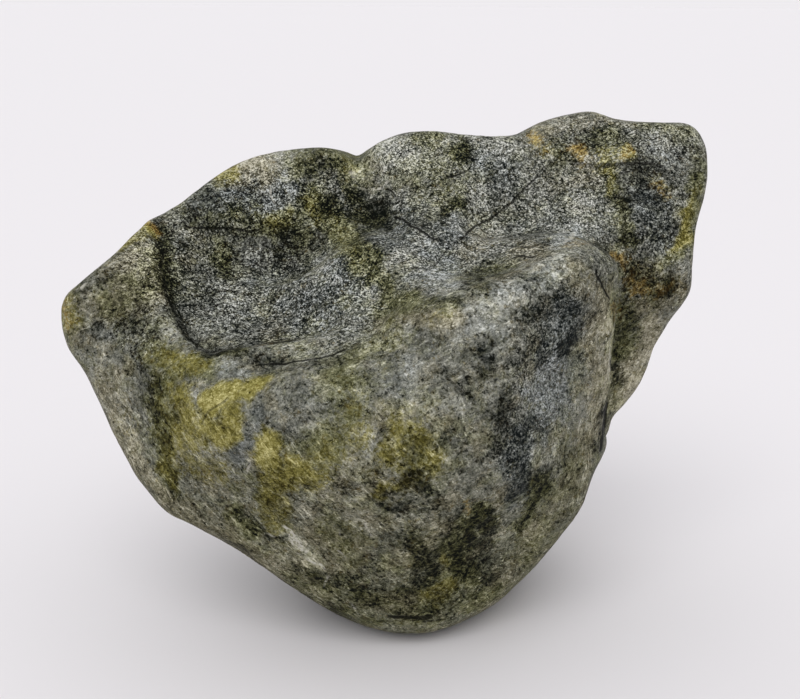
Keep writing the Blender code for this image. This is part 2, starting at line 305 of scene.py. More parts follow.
def carving(points):
    """How far STROKES and LEDGES move each point out along its normal. They fade out round the back."""
    spots = seen_from_eye(points)
    away = points - HEART
    facing = away @ (EYE - HEART) / np.linalg.norm(EYE - HEART) / np.linalg.norm(away, axis=1)
    moved = np.zeros(len(points))
    for half_width, height, path in STROKES.values():
        distance, _, _ = near_path(spots, path)
        moved += height * (1 - np.minimum(distance / half_width, 1) ** 2) ** 2
    for drop, edge, fade, path in LEDGES.values():
        distance, side, from_end = near_path(spots, path)
        beyond = distance * side
        low = smooth(beyond / edge + 0.5) * (1 - np.clip(beyond / fade, 0, 1) ** 2) ** 2
        moved -= drop * low * smooth(from_end / (LEDGE_END * fade)) * (distance < fade)
    return moved * np.clip(1 + facing / SIDE_FADE, 0, 1)


print("the brow stands out by", carving(np.array([(26.0, -48.0, 109.0)])).round(2), "mm")


# %% [markdown]
# ## The grid
#
# A globe of meridians would crowd its points at two poles, and those show as a pinch in the grain. The
# six sides of a cube, blown up, have no poles. A coarse grid is first evened out, so that the squares are
# of one size even where the skin runs nearly along its ray from the heart, and is then split in half
# twice.

# %% A cube's lattice
COARSE = 32  # squares along a side of the cube at the start, and four times that in the end
EVENINGS = (40, 8, 4)  # how often the grid is evened out at the start, and after each halving


def cube_lattice(n):
    """(sites, sheets): the points of a cube's surface on a lattice of n squares a side, and their numbers
    as six square sheets. Two coordinates of a site run from -n to n in steps of 2, and one is -n or n."""
    run = np.arange(-n, n + 1, 2)
    a, b = np.meshgrid(run, run, indexing="ij")
    side = np.full_like(a, n)
    sheets = [(side, a, b), (-side, b, a), (b, side, a), (a, -side, b), (a, b, side), (b, a, -side)]
    places = np.stack([np.stack(sheet, axis=-1) for sheet in sheets])
    sites, number = np.unique(places.reshape(-1, 3), axis=0, return_inverse=True)
    return sites, number.reshape(places.shape[:3])


def sheet_edges(sheets):
    """Each edge of the lattice once, as pairs of point numbers."""
    along = np.stack([sheets[:, :-1], sheets[:, 1:]], axis=-1).reshape(-1, 2)
    across = np.stack([sheets[:, :, :-1], sheets[:, :, 1:]], axis=-1).reshape(-1, 2)
    return np.unique(np.sort(np.concatenate([along, across]), axis=1), axis=0)


def unit(vectors):
    """Each vector over its own length."""
    return vectors / np.linalg.norm(vectors, axis=1, keepdims=True)


def neighbour_mean(values, edges):
    """The mean of each point's neighbours along the edges."""
    ends = np.concatenate([edges, edges[:, ::-1]])
    count = np.bincount(ends[:, 0], minlength=len(values))
    sums = [np.bincount(ends[:, 0], column[ends[:, 1]], len(values)) for column in values.T]
    return np.stack(sums, axis=1) / count[:, None]


def evened(directions, edges, rounds):
    """Directions slid until the squares are nearly equal: each round aims at the neighbours' middle."""
    for _ in range(rounds):
        directions = unit(neighbour_mean(stone_points(directions), edges) - HEART)
    return directions


def halved(directions, sheets):
    """(directions, sheets) on a lattice of twice as many squares: new directions are means of old ones."""
    n = 2 * (sheets.shape[1] - 1)
    old = directions[sheets]
    fine = np.empty((6, n + 1, n + 1, 3))
    fine[:, ::2, ::2] = old
    fine[:, 1::2, ::2] = (old[:, :-1] + old[:, 1:]) / 2
    fine[:, :, 1::2] = (fine[:, :, :-1:2] + fine[:, :, 2::2]) / 2
    sites, new_sheets = cube_lattice(n)
    out = np.empty((len(sites), 3))
    out[new_sheets.reshape(-1)] = fine.reshape(-1, 3)
    return unit(out), new_sheets


sites, sheets = cube_lattice(COARSE)
aims = evened(unit(np.tan(sites / COARSE * np.pi / 4)), sheet_edges(sheets), EVENINGS[0])
for rounds in EVENINGS[1:]:
    aims, sheets = halved(aims, sheets)
    edges = sheet_edges(sheets)
    aims = evened(aims, edges, rounds)
worn = stone_points(aims)
gaps = np.linalg.norm(worn[edges[:, 0]] - worn[edges[:, 1]], axis=1)
print(len(worn), "points,", round(gaps.mean(), 2), "mm apart")

# %% Normals of a grid
corners = [sheets[:, :-1, :-1], sheets[:, 1:, :-1], sheets[:, 1:, 1:], sheets[:, :-1, 1:]]
squares = np.stack(corners, axis=-1).reshape(-1, 4)


def normals_of(points):
    """Unit normals: a square's is the cross product of its diagonals, and a point sums its squares'."""
    corner = points[squares]
    flat = np.cross(corner[:, 2] - corner[:, 0], corner[:, 3] - corner[:, 1])
    spread = np.repeat(flat[:, None], 4, axis=1).reshape(-1, 3)
    sums = [np.bincount(squares.reshape(-1), column, len(points)) for column in spread.T]
    return unit(np.stack(sums, axis=1))


outward = (normals_of(worn) * aims).sum(axis=1)
print("every normal faces out:", bool((outward > 0).all()))

# %% [markdown]
# ## Noise
#
# Weather has no straight edges. Gradient noise gives smooth random hills: each corner of a lattice has a
# random slope, and a point blends the eight slopes round it. Layers of it, each half as wide and weaker,
# make a rough field.

# %% Gradient noise
SEED = 62
WEAKER = 0.55  # the strength of each layer of hills against the one before
APART = np.array((1.0, 2.3, 3.7))  # the way to another field; the shifts are any unlike numbers

dice = np.random.default_rng(SEED)
SHUFFLE = dice.permutation(256)
SLOPES = unit(dice.normal(size=(256, 3)))


def hills(points, width, shift):
    """Gradient noise, about -0.6 to 0.6, with hills about `width` mm wide. `shift` picks another field."""
    at = points / width + shift * APART
    cell = np.floor(at).astype(int)
    inside = at - cell
    ease = inside**3 * (inside * (inside * 6 - 15) + 10)
    total = np.zeros(len(points))
    for corner in np.ndindex(2, 2, 2):
        x, y, z = (cell + corner).T & 255
        slope = SLOPES[SHUFFLE[(SHUFFLE[(SHUFFLE[x] + y) & 255] + z) & 255]]
        share = np.prod(np.where(corner, ease, 1 - ease), axis=1)
        total += share * (slope * (inside - corner)).sum(axis=1)
    return total


def rough(points, width, layers, shift=0.0):
    """Layers of hills, each half as wide as the last and WEAKER."""
    return sum(WEAKER**k * hills(points, width / 2**k, shift + 5.1 * k) for k in range(layers))


def smear(points, width, shift):
    """A random vector field, to bend a pattern: three fields of hills side by side."""
    return np.stack([rough(points, width, 2, shift + 11.3 * k) for k in range(3)], axis=1)


print("noise spans", np.round(np.percentile(rough(worn, 20, 3), (1, 99)), 2))

# %% [markdown]
# ## The relief of the skin
#
# The strokes and ledges go on along the normals. The rock between them is not smooth either: it has low
# swells a thumb wide, worn ripples, small pits where soft grains have gone, and thin cracks. A crack is
# kept as a distance, positive on its right, so that the material can draw it much finer than the grid.

# %% Cracks and veins
# Half-width in mm, how dark it is, and its path of (x, z) where sight lines cross the plane y = 0
CRACKS = {
    "lobe line": (
        0.6, 0.4, [(65.5, 136.5), (67.5, 129), (68.5, 121.5), (69.5, 114), (69, 107.5), (70.5, 102)],
    ),
    "wall of the dish": (
        0.5, 0.5, [(-67.5, 115.5), (-69.5, 109), (-68.5, 100.5), (-66, 94.5), (-62.5, 87.5), (-58, 83.5)],
    ),
    "lip": (0.45, 0.6, [(-58, 83.5), (-52.5, 83), (-47, 84.5)]),
    "lip end": (0.45, 0.8, [(-43.5, 85), (-39.5, 86), (-32.5, 86), (-28.5, 85.5)]),
    "belly": (0.4, 0.5, [(15, 73), (21, 66.5), (23.5, 60.5)]),
    "left rim": (0.5, 0.4, [(-94, 97.5), (-89, 103), (-82.5, 110), (-73.5, 118.5)]),
    "dish": (0.35, 0.6, [(-58.5, 97), (-54, 97.5), (-50, 98.5)]),
    "roll": (0.5, 0.6, [(50, 139), (57.5, 137), (66.5, 137), (75, 137.5), (82, 135)]),
    "roll rise": (0.4, 0.4, [(42.5, 134.5), (46, 138), (49, 141)]),
    "yellow": (0.35, 0.5, [(-60, 55.5), (-57.5, 61), (-52.5, 64), (-50, 66.5)]),
    "slab": (0.4, 1, [(-2, 123.5), (1.5, 122), (6, 119), (10.5, 116.5), (14, 116)]),
    "slab rise": (0.28, 0.75, [(18, 115), (24.5, 119.5), (31, 123), (35.5, 127), (40, 132), (43, 136)]),
    "slab tail": (0.28, 0.6, [(18, 115.5), (15.5, 112), (13, 108.5), (9, 106.5), (1.5, 105)]),
    "slab top": (0.31, 0.8, [(13, 133), (17.5, 133.5), (22, 135.5)]),
    "slab nick": (0.37, 0.8, [(9, 125.5), (11, 123.5)]),
    "slab left": (0.31, 0.75, [(-5, 131.5), (-1.5, 129.5), (1, 127)]),
    "slab low": (0.28, 0.6, [(28, 115), (33, 114), (43.5, 113.5)]),
    "slab lower": (0.31, 0.8, [(34, 109.5), (37.5, 110.5), (43.5, 110)]),
    # foot: a crack that is partly painted shade under a small overhang of the foot
    "foot": (0.62, 1, [(-3, -9.5), (1.5, -10.5), (8.5, -11), (14, -10.5)]),
    "foot low": (0.37, 0.6, [(8.5, -12.5), (17, -12)]),
    "corner": (0.25, 0.9, [(59, 105.5), (61.5, 102), (64, 98), (66, 94.5)]),
    "corner top": (0.25, 0.5, [(49.5, 107.5), (56, 106)]),
    "lobe": (0.37, 0.8, [(75, 107.5), (77.5, 106), (79, 104.5)]),
    "lobe low": (0.31, 0.55, [(75.5, 95.5), (78, 93.5), (80, 92)]),
    "crevice": (0.49, 1, [(66.5, 64.5), (66, 59.5), (66, 56.5), (65.5, 52.5), (65, 48.5), (64.5, 45)]),
    "dish back": (
        0.31, 0.7, [(-64.5, 119.5), (-60.5, 119), (-54, 118.5), (-47.5, 118.5), (-42.5, 118), (-38, 119)],
    ),
    "lip under": (0.34, 0.8, [(-40.5, 77), (-33.5, 77), (-27.5, 78.5), (-19.5, 80), (-14, 82.5)]),
    # not a crack: a dark line of painted shade just right of the corner, behind the step to the right lobe
    "painted shade behind the corner": (0.43, 0.6, [(70, 96), (69, 90), (68.5, 82.5), (68, 74.5), (67.5, 67.5)]),
}
# and the same of healed ones: half-width, how pale it is, path
VEINS = {
    "chip": (0.8, 1, [(-13.5, 136.5), (-12.5, 135), (-11.5, 133)]),
    "tip fleck": (0.37, 0.7, [(-96, 99), (-93.5, 100), (-91, 102.5)]),
    "chip 2": (0.46, 0.8, [(-72, 117), (-70.5, 116.5)]),
    "belly vein": (0.52, 1, [(-36, 23), (-33, 20.5), (-30, 17), (-29.5, 14.5), (-26.5, 12.5)]),
    "belly vein 2": (0.46, 0.8, [(-35, 18.5), (-33, 17.5), (-31, 15)]),
    "belly vein 3": (0.4, 0.8, [(-29.5, 11.5), (-26, 10), (-23.5, 9.5), (-21.5, 6.5)]),
    "belly vein 4": (0.34, 0.7, [(-41, 20.5), (-39, 19), (-37, 18.5)]),
    "belly vein 5": (0.34, 0.6, [(-23, 0), (-22, 3.5), (-20, 6)]),
    "belly vein 6": (0.37, 0.6, [(-10, 24.5), (-8.5, 20.5), (-6, 18)]),
    "belly vein 7": (0.28, 0.45, [(-20.5, 15.5), (-17, 13), (-14.5, 9.5)]),
    "belly vein 8": (0.31, 0.55, [(-14, -4), (-12.5, -7.5), (-11, -10)]),
    "belly vein 9": (0.31, 0.5, [(-17.5, 22), (-17, 18)]),
    "side vein": (0.37, 0.6, [(-44.5, 45.5), (-45.5, 42.5), (-46.5, 39)]),
    "hump vein": (0.34, 0.7, [(-36.5, 131.5), (-36.5, 127.5), (-35, 124.5)]),
    "hump vein 2": (0.34, 0.6, [(-27, 131.5), (-22.5, 132.5)]),
    "hump vein 3": (0.4, 0.8, [(-9, 130.5), (-5, 131), (-1.5, 133.5)]),
    "slab vein": (0.31, 0.5, [(7, 111.5), (10.5, 116)]),
    "slab vein 2": (0.31, 0.6, [(47.5, 136), (51, 133.5), (55.5, 130)]),
    "slab vein 3": (0.31, 0.4, [(2.5, 136.5), (7, 138)]),
    "cheek vein": (0.22, 0.45, [(68.5, 101), (67.5, 92.5), (66.5, 83), (66, 68.5)]),
    "slab flake": (0.62, 0.8, [(49.5, 114.5), (51.5, 115.5), (53.5, 117), (55.5, 118.5)]),
    "cheek vein 2": (0.22, 0.35, [(62.5, 88), (61.5, 76.5)]),
    "ridge vein": (0.37, 0.6, [(45, 106.5), (48.5, 107.5), (52, 107)]),
    "rim vein": (0.31, 0.6, [(-92, 99.5), (-87.5, 105), (-83.5, 108), (-80.5, 109)]),
    "belly fleck": (0.49, 0.7, [(-28, 58), (-26, 57.5), (-24.5, 56.5)]),
    "belly fleck 2": (0.34, 0.6, [(-19, 66.5), (-17, 68.5)]),
}
WAVER = 0.7  # how far in mm the noise bends a line
OUT_OF_SIGHT = 9.0  # half-widths from a line, more than the material draws


def faces_eye(points, low, high):
    """1 where the skin faces the eye, 0 where it has turned away: it rises between two cosines."""
    cosine = (normals_of(points) * unit(EYE - points)).sum(axis=1)
    return smooth((cosine - low) / (high - low))


def crack_fields(points):
    """(side, strength): the signed distance to the nearest line in half-widths, and how dark it is, or
    how pale, below 0. The strength fades within 2.6 mm of the line and 2.5 mm of its ends."""
    spots = seen_from_eye(points + WAVER * smear(points, 6, 3.1))
    side, strength = np.full(len(points), OUT_OF_SIGHT), np.zeros(len(points))
    nearest = np.full(len(points), np.inf)
    veins = [(half_width, -pale, path) for half_width, pale, path in VEINS.values()]
    for half_width, dark, path in [*CRACKS.values(), *veins]:
        distance, sign, from_end = near_path(spots, path)
        closer = distance < nearest
        nearest = np.where(closer, distance, nearest)
        widths = np.clip(sign * distance / half_width, -OUT_OF_SIGHT, OUT_OF_SIGHT)
        side = np.where(closer, widths, side)
        reach = smooth((2.6 - distance) / 1.2) * smooth(from_end / 2.5)
        strength = np.where(closer, dark * reach, strength)
    return side, strength * faces_eye(points, -0.15, 0.05)


crack_side, crack_open = crack_fields(worn)
print(len(CRACKS), "cracks and", len(VEINS), "veins over", (abs(crack_open) > 0.1).sum(), "points")

# %% Swells, ripples and pits
SWELL, RIPPLE, PIT = 0.55, 0.2, 0.3  # mm
FLAT_FOOT = 6  # mm of height over which they set in above the foot, which has to stand flat


def relief(points):
    """Millimetres out along the normal: the carving, and swells, ripples and pits. Swells and ripples are
    layers of hills. Pits are the tops of small hills, where wide hills allow them."""
    swells = SWELL * rough(points, 22, 2, 1.7)
    ripples = RIPPLE * rough(points, 6, 3, 8.2)
    pits = PIT * smooth((hills(points, 3.6, 4.4) - 0.3) / 0.2) * smooth(0.3 + 2 * hills(points, 17, 9.9))
    return carving(points) + (swells + ripples - pits) * np.clip(points[:, 2] / FLAT_FOOT, 0, 1)


moved = relief(worn)
skin = worn + normals_of(worn) * moved[:, None]
print("relief", np.round(np.percentile(moved, (1, 50, 99)), 2), "mm")

# %% Into the solid's box
low, high = (np.array(corner) / MM for corner in CAD_BOX)
skin -= (skin.min(axis=0) + skin.max(axis=0)) / 2
skin *= np.minimum((high - low) / (skin.max(axis=0) - skin.min(axis=0)), 1)
middle = (low + high) / 2
skin += (middle[0], middle[1], low[2] - skin[:, 2].min())
print("the skin is", np.round(skin.max(axis=0) - skin.min(axis=0), 1), "mm")

# %% [markdown]
# ## The colours of weather
#
# The rock is the same grey-green all through. Weather, water and lichen have coloured its skin in
# patches: mustard where iron has bled out, almost black in places, blue-grey where it is freshest, and
# pale where it has been rubbed. The dark mask also holds painted shade, in the creases of the dish and
# the lip, along the underside and beside a fold low on the right. Each colour is brushed on in strokes,
# as a mask on the points, and the noise bends the strokes so that no edge is round. Round the back noise
# alone lays the same colours, in patches of the same kinds.

# %% Brush strokes
# For each colour: half-width in mm, strength, and a path of (x, z) where sight lines cross the plane y = 0
BRUSHED = {
    # dark: dark patches of the rock, and painted shade in creases, along the underside and beside a fold
    "dark": [
        (2, 0.8, [(6, 17), (7, 14)]), (2.5, 1, [(9, 9.5), (10.5, 3.5)]),
        (2.5, 0.6, [(2.5, 0), (6, -1.5)]), (2, 0.9, [(1.5, 37), (5.5, 38.5)]),
        (1.5, 1, [(8, 35), (10, 32)]), (1, 0.8, [(0.5, 29), (3, 27.5)]),
        (2, 0.5, [(-30, 6.5), (-20.5, 3.5)]), (2.5, 0.5, [(-15.5, 1.5), (-7, -0.5)]),
        # dark moss, and painted shade, in the crease along the wall of the dish and round under the lip
        (2.5, 0.9, [(-68, 119), (-69.5, 111.5), (-68, 102.5), (-66, 95.5)]),
        (1, 0.9, [(-65, 94), (-63, 87.5), (-58, 82), (-52.5, 79.5)]),
        (1, 0.5, [(-52.5, 79.5), (-45.5, 79.5), (-38.5, 78), (-29.5, 77.5), (-19.5, 79)]),
        (2.5, 0.6, [(-53, 124.5), (-43, 121.5), (-39.5, 120)]),
        (2, 0.6, [(-60.5, 121.5), (-56, 118.5), (-50, 120)]), (2, 0.5, [(-63.5, 114.5), (-61, 109.5)]),
        (1.5, 0.8, [(-46, 111.5), (-48.5, 108)]), (3, 0.8, [(-33, 118), (-32, 113), (-35, 111.5)]),
        (1.5, 0.8, [(-28.5, 111.5), (-28.5, 107)]), (2, 0.5, [(-41.5, 120), (-28, 116.5), (-22.5, 115)]),
        (2.5, 1, [(-21.5, 124.5), (-15, 123), (-6, 122.5)]),
        (2.5, 1, [(-10, 129.5), (-5, 126.5), (-5, 122.5)]),
        (3, 0.7, [(-26, 135), (-19, 136.5), (-16, 132)]),
        (2.5, 0.6, [(-33, 129.5), (-28, 130.5), (-29, 126.5)]),
        (3, 0.55, [(-79.5, 91), (-75, 87), (-77.5, 81.5)]), (2, 0.6, [(-89, 88.5), (-90, 87)]),
        (1.5, 0.6, [(-73.5, 71.5), (-73, 61.5)]), (1.5, 0.5, [(-70.5, 57), (-70, 43.5), (-67.5, 34.5)]),
        # painted shade in the crease under the lip
        (1.5, 0.5, [(-54.5, 80.5), (-48.5, 78.5)]), (0.9, 0.35, [(-38, 77), (-29, 77.5), (-22, 80)]),
        (0.8, 1, [(-36.5, 84), (-31, 86)]), (2, 0.45, [(-48.5, 25.5), (-45.5, 20.5)]),
        (1, 0.6, [(-42.5, 21), (-35.5, 19)]),
        # painted shade: the dark band along the underside, from the left down to the foot
        (2, 0.5, [(-60, 18.5), (-47.5, 11), (-30, -3), (-17.5, -9)]),
        (2, 0.5, [(-17.5, 39.5), (-14, 34.5)]), (1.5, 0.6, [(-7.5, 36), (-3, 33.5)]),
        (1.5, 1, [(7.5, 33.5), (10, 31.5)]), (2.5, 0.5, [(2, 20.5), (5, 15), (10.5, 13.5)]),
        (2, 0.6, [(9, 6.5), (10.5, 0.5)]), (2, 0.75, [(19, 12.5), (24.5, 18.5), (27.5, 25.5)]),
        (1.5, 1, [(30.5, 23.5), (31.5, 19.5)]), (2, 0.65, [(20, 9), (22, 4.5)]),
        (2, 0.65, [(27, 11), (31, 15)]), (2.5, 0.6, [(24, 5.5), (29.5, 2.5)]),
        # painted shade of a soft fold low on the right
        (1, 0.65, [(47.5, 41), (46.5, 33), (43.5, 27), (40, 21.5)]),
        (5, 0.62, [(43, 95), (50.5, 94), (55, 89.5), (51.5, 83), (45, 81.5)]),
        (3, 0.4, [(38.5, 86.5), (40, 80), (37, 73.5)]), (3, 0.9, [(55.5, 83.5), (54, 80)]),
        (2.5, 0.6, [(33, 64), (34.5, 62.5)]), (2.5, 0.6, [(31.5, 58), (33, 54), (31, 47.5)]),
        (3, 0.7, [(40.5, 54.5), (43, 50.5), (38, 52)]), (2, 0.6, [(45.5, 57), (46, 56)]),
        (3.5, 0.7, [(39.5, 44), (41.5, 37), (37, 34)]), (2.5, 0.6, [(26, 80), (28, 77), (25.5, 74.5)]),
        (0.9, 0.4, [(16, 74), (23.5, 65.5)]), (3, 0.38, [(31.5, 107), (25.5, 103.5), (22.5, 99)]),
        (2.5, 0.4, [(29, 98.5), (38, 100.5)]), (1, 0.8, [(13.5, 123.5), (20, 125)]),
        (2, 0.5, [(11, 119), (21, 116.5)]), (1.5, 0.6, [(-13.5, 114.5), (-10.5, 109.5)]),
        (4, 0.4, [(-3, 114.5), (2, 119)]), (2, 0.8, [(18.5, 142), (20.5, 139)]),
        (4.5, 0.5, [(28, 135.5), (31, 131.5)]), (3, 0.3, [(47, 132), (50.5, 130.5)]),
        (1.5, 0.7, [(69, 138), (75.5, 136.5), (81.5, 132.5), (85, 127.5)]),
        (2, 0.5, [(48, 143.5), (51.5, 140.5)]), (2, 0.5, [(60, 145), (66.5, 145)]),
        (5, 0.6, [(73, 129), (76, 123), (79.5, 118.5)]), (3, 0.75, [(72, 104.5), (78, 100), (85, 99.5)]),
        (2, 0.45, [(72, 93), (73, 87)]), (2, 0.5, [(69.5, 83), (70.5, 76.5)]),
        (1.5, 0.9, [(68, 74), (69.5, 71.5)]), (1.5, 0.5, [(69, 90), (68.5, 86)]),
        (0.9, 0.7, [(66, 63), (65.5, 53.5), (65, 48.5)]), (0.9, 0.6, [(67, 126), (69, 119.5), (71, 114)]),
        (1, 0.7, [(61, 114), (62.5, 111)]), (1.5, 0.6, [(64, 111), (68, 107.5)]),
        (0.9, 0.4, [(-94, 97.5), (-89, 102.5), (-81.5, 107.5), (-74, 114.5), (-71.5, 119.5)]),
        (2.5, 0.5, [(-19, 136.5), (-15, 129.5)]), (2, 0.3, [(-58, 111.5), (-53.5, 108)]),
        (2, 0.4, [(-41, 105), (-35, 101.5)]), (3, 0.4, [(14.5, 51), (20.5, 49)]),
        (2.5, 0.4, [(-19.5, 90), (-15, 88.5)]), (3.5, 0.35, [(2, 31), (14.5, 29)]),
        (3, 0.3, [(52.5, 44), (56, 37)]), (3.5, 0.35, [(37, 119), (45, 114)]),
        (2, 0.5, [(-60.5, 82.5), (-54.5, 84)]), (1, 0.5, [(33.5, 96), (23, 96), (13.5, 94.5)]),
        (4.5, 0.3, [(-86, 84), (-77.5, 74)]), (3, 0.35, [(-29.5, 38), (-23.5, 31)]),
        (3, 0.4, [(-15.5, 36), (-7, 38.5)]), (5, 0.5, [(-39.5, 38), (-33, 33)]),
        (5.5, 0.4, [(0.5, 52.5), (6.5, 42.5)]), (5, 0.25, [(-90, 87), (-76.5, 95)]),
        (2.5, 0.35, [(-73, 113), (-74.5, 99)]), (2, 0.5, [(-33.5, 116), (-35.5, 111.5)]),
        (2, 0.5, [(-28, 114.5), (-27.5, 109.5)]), (5, 0.3, [(-10.5, 119), (-7, 111.5)]),
        (2.5, 0.35, [(-1.5, 41), (5.5, 37.5)]), (1.5, 0.5, [(-37.5, 119), (-31, 118.5)]),
        (6, 0.42, [(-57, 98), (-43.5, 91.5), (-28.5, 96)]),
        (5, 0.4, [(-28.5, 96), (-18, 98.5), (-14, 106)]),
        (3.5, 0.45, [(-55.5, 127.5), (-42.5, 128.5), (-29, 129.5)]),
        (3.5, 0.25, [(-39.5, 36.5), (-31, 38)]), (2.5, 0.5, [(33, 59), (36.5, 40.5), (35.5, 32)]),
        (3, 0.45, [(14.5, 30.5), (21, 25.5)]), (5.5, 0.6, [(19.5, 17), (26, 9.5)]),
        (3.5, 0.6, [(-15, 123), (-7, 120.5)]), (2.5, 0.5, [(-7, 117.5), (-4.5, 107.5)]),
        (6, 0.35, [(-31, 114.5), (-43, 111.5), (-58, 108)]),
        (3.5, 0.5, [(-17.5, 0), (2, -4), (18.5, -4.5)]), (4.5, 0.5, [(11.5, 10), (24.5, 15)]),
        (3, 0.4, [(48, 145.5), (63, 144), (75, 144)]), (3.5, 0.4, [(87, 141), (87.5, 132)]),
        (3, 0.4, [(-30, -3.5), (-20.5, -8)]), (4.5, 0.35, [(21.5, -1), (31, 6)]),
        (2, 0.3, [(59, 107.5), (66, 98.5)]),
    ],
    "pale": [
        (3.5, 0.45, [(-86.5, 100), (-76, 108)]), (7, 0.45, [(-3, 80.5), (6, 80), (5, 69)]),
        (3, 0.5, [(74, 92), (77, 84.5), (73.5, 72.5)]),
        (2, 0.8, [(-55.5, 64.5), (-52.5, 66.5), (-49, 67.5)]), (1.5, 0.6, [(-44.5, 67), (-41.5, 69)]),
        (2, 0.7, [(-41, 51.5), (-40, 48)]), (2, 0.5, [(-58.5, 56.5), (-54, 51.5)]),
        (7.5, 0.5, [(-20, 31), (-4.5, 48), (8, 64)]), (8, 0.3, [(10.5, 126.5), (49, 129)]),
        (6, 0.3, [(48.5, 141), (78, 141)]), (3, 0.4, [(75.5, 81.5), (72.5, 68.5)]),
        (7.5, 0.3, [(1.5, 114.5), (22, 126.5), (49, 129)]),
        (8, 0.25, [(1.5, 64), (20, 73.5), (-4.5, 51)]), (1, 0.7, [(53.5, 127), (58.5, 127.5)]),
        (1.5, 0.6, [(62.5, 130.5), (65.5, 130)]), (2, 0.5, [(59, 124.5), (63, 116.5), (66, 114)]),
        (1, 0.9, [(66, 95.5), (65, 83), (65.5, 68.5)]), (1.5, 0.4, [(61.5, 92.5), (63, 76.5)]),
        (2, 0.7, [(45, 105.5), (48.5, 107.5), (53, 106)]), (5, 0.35, [(-49, 107), (-40, 108)]),
        (4.5, 0.4, [(-28.5, 104), (-19.5, 105.5)]), (3.5, 0.6, [(-84, 62), (-79, 48.5), (-73, 38.5)]),
        (3, 0.5, [(-88, 76), (-86, 70)]), (3, 0.8, [(-42.5, 136.5), (-36.5, 138), (-32, 138)]),
        (2.5, 0.5, [(-47, 133.5), (-42.5, 132)]), (2, 0.9, [(-32, 139.5), (-29, 136.5), (-31, 132)]),
        (1.5, 0.5, [(-37.5, 131), (-37, 127.5)]), (1.5, 1, [(-13.5, 135.5), (-11.5, 133.5)]),
        (1, 0.8, [(-7.5, 133.5), (-4, 132), (-2.5, 135)]),
        (3, 0.8, [(-3, 142), (1.5, 140.5), (5.5, 138)]), (4.5, 0.3, [(13, 140.5), (10, 129)]),
        (2, 0.7, [(27.5, 141), (31, 143.5), (36, 142.5)]), (4.5, 0.3, [(50, 136.5), (58, 129)]),
        (3, 0.5, [(59, 126), (62, 121.5)]), (2, 0.9, [(49, 115.5), (54.5, 118.5)]),
        (2.5, 0.6, [(7.5, 107.5), (11, 102), (19.5, 99), (15, 97)]), (2.5, 0.4, [(31.5, 114), (35, 111)]),
        (5.5, 0.45, [(-58.5, 96.5), (-50.5, 90), (-40.5, 93)]), (4.5, 0.4, [(-31.5, 90), (-19.5, 93)]),
        (2, 0.7, [(-35, 80), (-29, 82), (-22.5, 82)]), (2.5, 0.6, [(-29, 83.5), (-16.5, 88.5)]),
        (2.5, 0.5, [(-56, 76), (-47, 73.5)]),
        (3, 1, [(20, 88), (26, 92.5), (32, 95), (38, 96.5), (44, 100.5), (50, 106)]),
        (2.5, 0.9, [(18, 85.5), (17, 89.5)]), (3, 0.7, [(32, 89.5), (35.5, 86.5), (34, 80)]),
        (2, 0.5, [(50, 111), (57, 111.5)]), (3, 0.5, [(-4.5, 83), (7.5, 85), (17, 85)]),
        (2.5, 0.6, [(-13.5, 71.5), (-10.5, 67)]), (5, 0.5, [(1.5, 78.5), (8, 74), (0.5, 68.5)]),
        (2, 0.7, [(19.5, 64), (22.5, 60.5)]), (2.5, 0.5, [(22.5, 73.5), (27, 68.5)]),
        (2, 0.4, [(18.5, 80), (16, 74)]), (3.5, 0.4, [(-26.5, 71), (-20, 67.5), (-16, 69)]),
        (1, 0.8, [(-28.5, 56.5), (-24, 57.5)]), (2, 0.5, [(-84, 67), (-81.5, 64.5), (-82.5, 61)]),
        (2.5, 0.35, [(-90, 68.5), (-82, 48.5), (-73.5, 34.5)]),
        (0.9, 1, [(-35, 22), (-30, 14), (-24.5, 10)]), (3, 0.5, [(-53, 35.5), (-49.5, 31.5)]),
        (1, 0.6, [(-44.5, 45.5), (-45.5, 39.5)]), (1.5, 0.6, [(45.5, 52.5), (48, 47), (45.5, 43.5)]),
        (1, 0.6, [(28.5, 44.5), (30.5, 39), (32.5, 33.5)]), (1.5, 0.5, [(33.5, 22), (36, 18)]),
        (1, 0.5, [(-16, 28.5), (-11, 21), (-5.5, 15)]),
        (2, 0.6, [(60.5, 83), (60, 73.5), (61, 63.5), (60, 53.5)]),
        (1, 0.7, [(64.5, 89.5), (64, 80), (64, 69.5)]),
        (2.5, 1, [(79, 89.5), (76, 79.5), (72.5, 68), (69, 63)]), (2, 0.7, [(75.5, 144), (80, 141.5)]),
        (2, 0.4, [(52, 149.5), (59.5, 149)]), (2, 0.5, [(41.5, 147.5), (48.5, 149.5)]),
        (0.8, 0.8, [(-83.5, 105.5), (-78, 109.5)]), (2, 0.5, [(-71, 87), (-65.5, 84.5)]),
        (2, 0.5, [(7.5, 24), (14.5, 23)]), (1.5, 0.5, [(0.5, 26), (2.5, 20.5)]),
        (3, 0.4, [(53, 30), (48.5, 20)]), (2, 0.4, [(-59.5, 68), (-62.5, 64)]),
        (3, 0.3, [(52, 54), (55.5, 63.5)]), (1.5, 0.5, [(67, 121.5), (66, 115.5)]),
        (2, 0.35, [(37, 125), (44.5, 126)]), (2, 0.5, [(-9, 96), (-13.5, 92.5)]),
        (1.5, 0.5, [(0.5, -4), (5.5, -6.5)]), (3, 0.4, [(-80, 81), (-90.5, 80.5)]),
        (3.5, 0.3, [(22.5, 114.5), (31, 119)]), (3.5, 0.3, [(-54, 101), (-46.5, 99.5)]),
    ],
    "blue": [
        (3, 0.5, [(20.5, 89), (29, 94), (38, 97), (45.5, 102), (50.5, 106)]),
        (2, 0.6, [(48, 115), (55.5, 118.5)]), (3.5, 0.7, [(-57, 126.5), (-42.5, 128), (-31, 130)]),
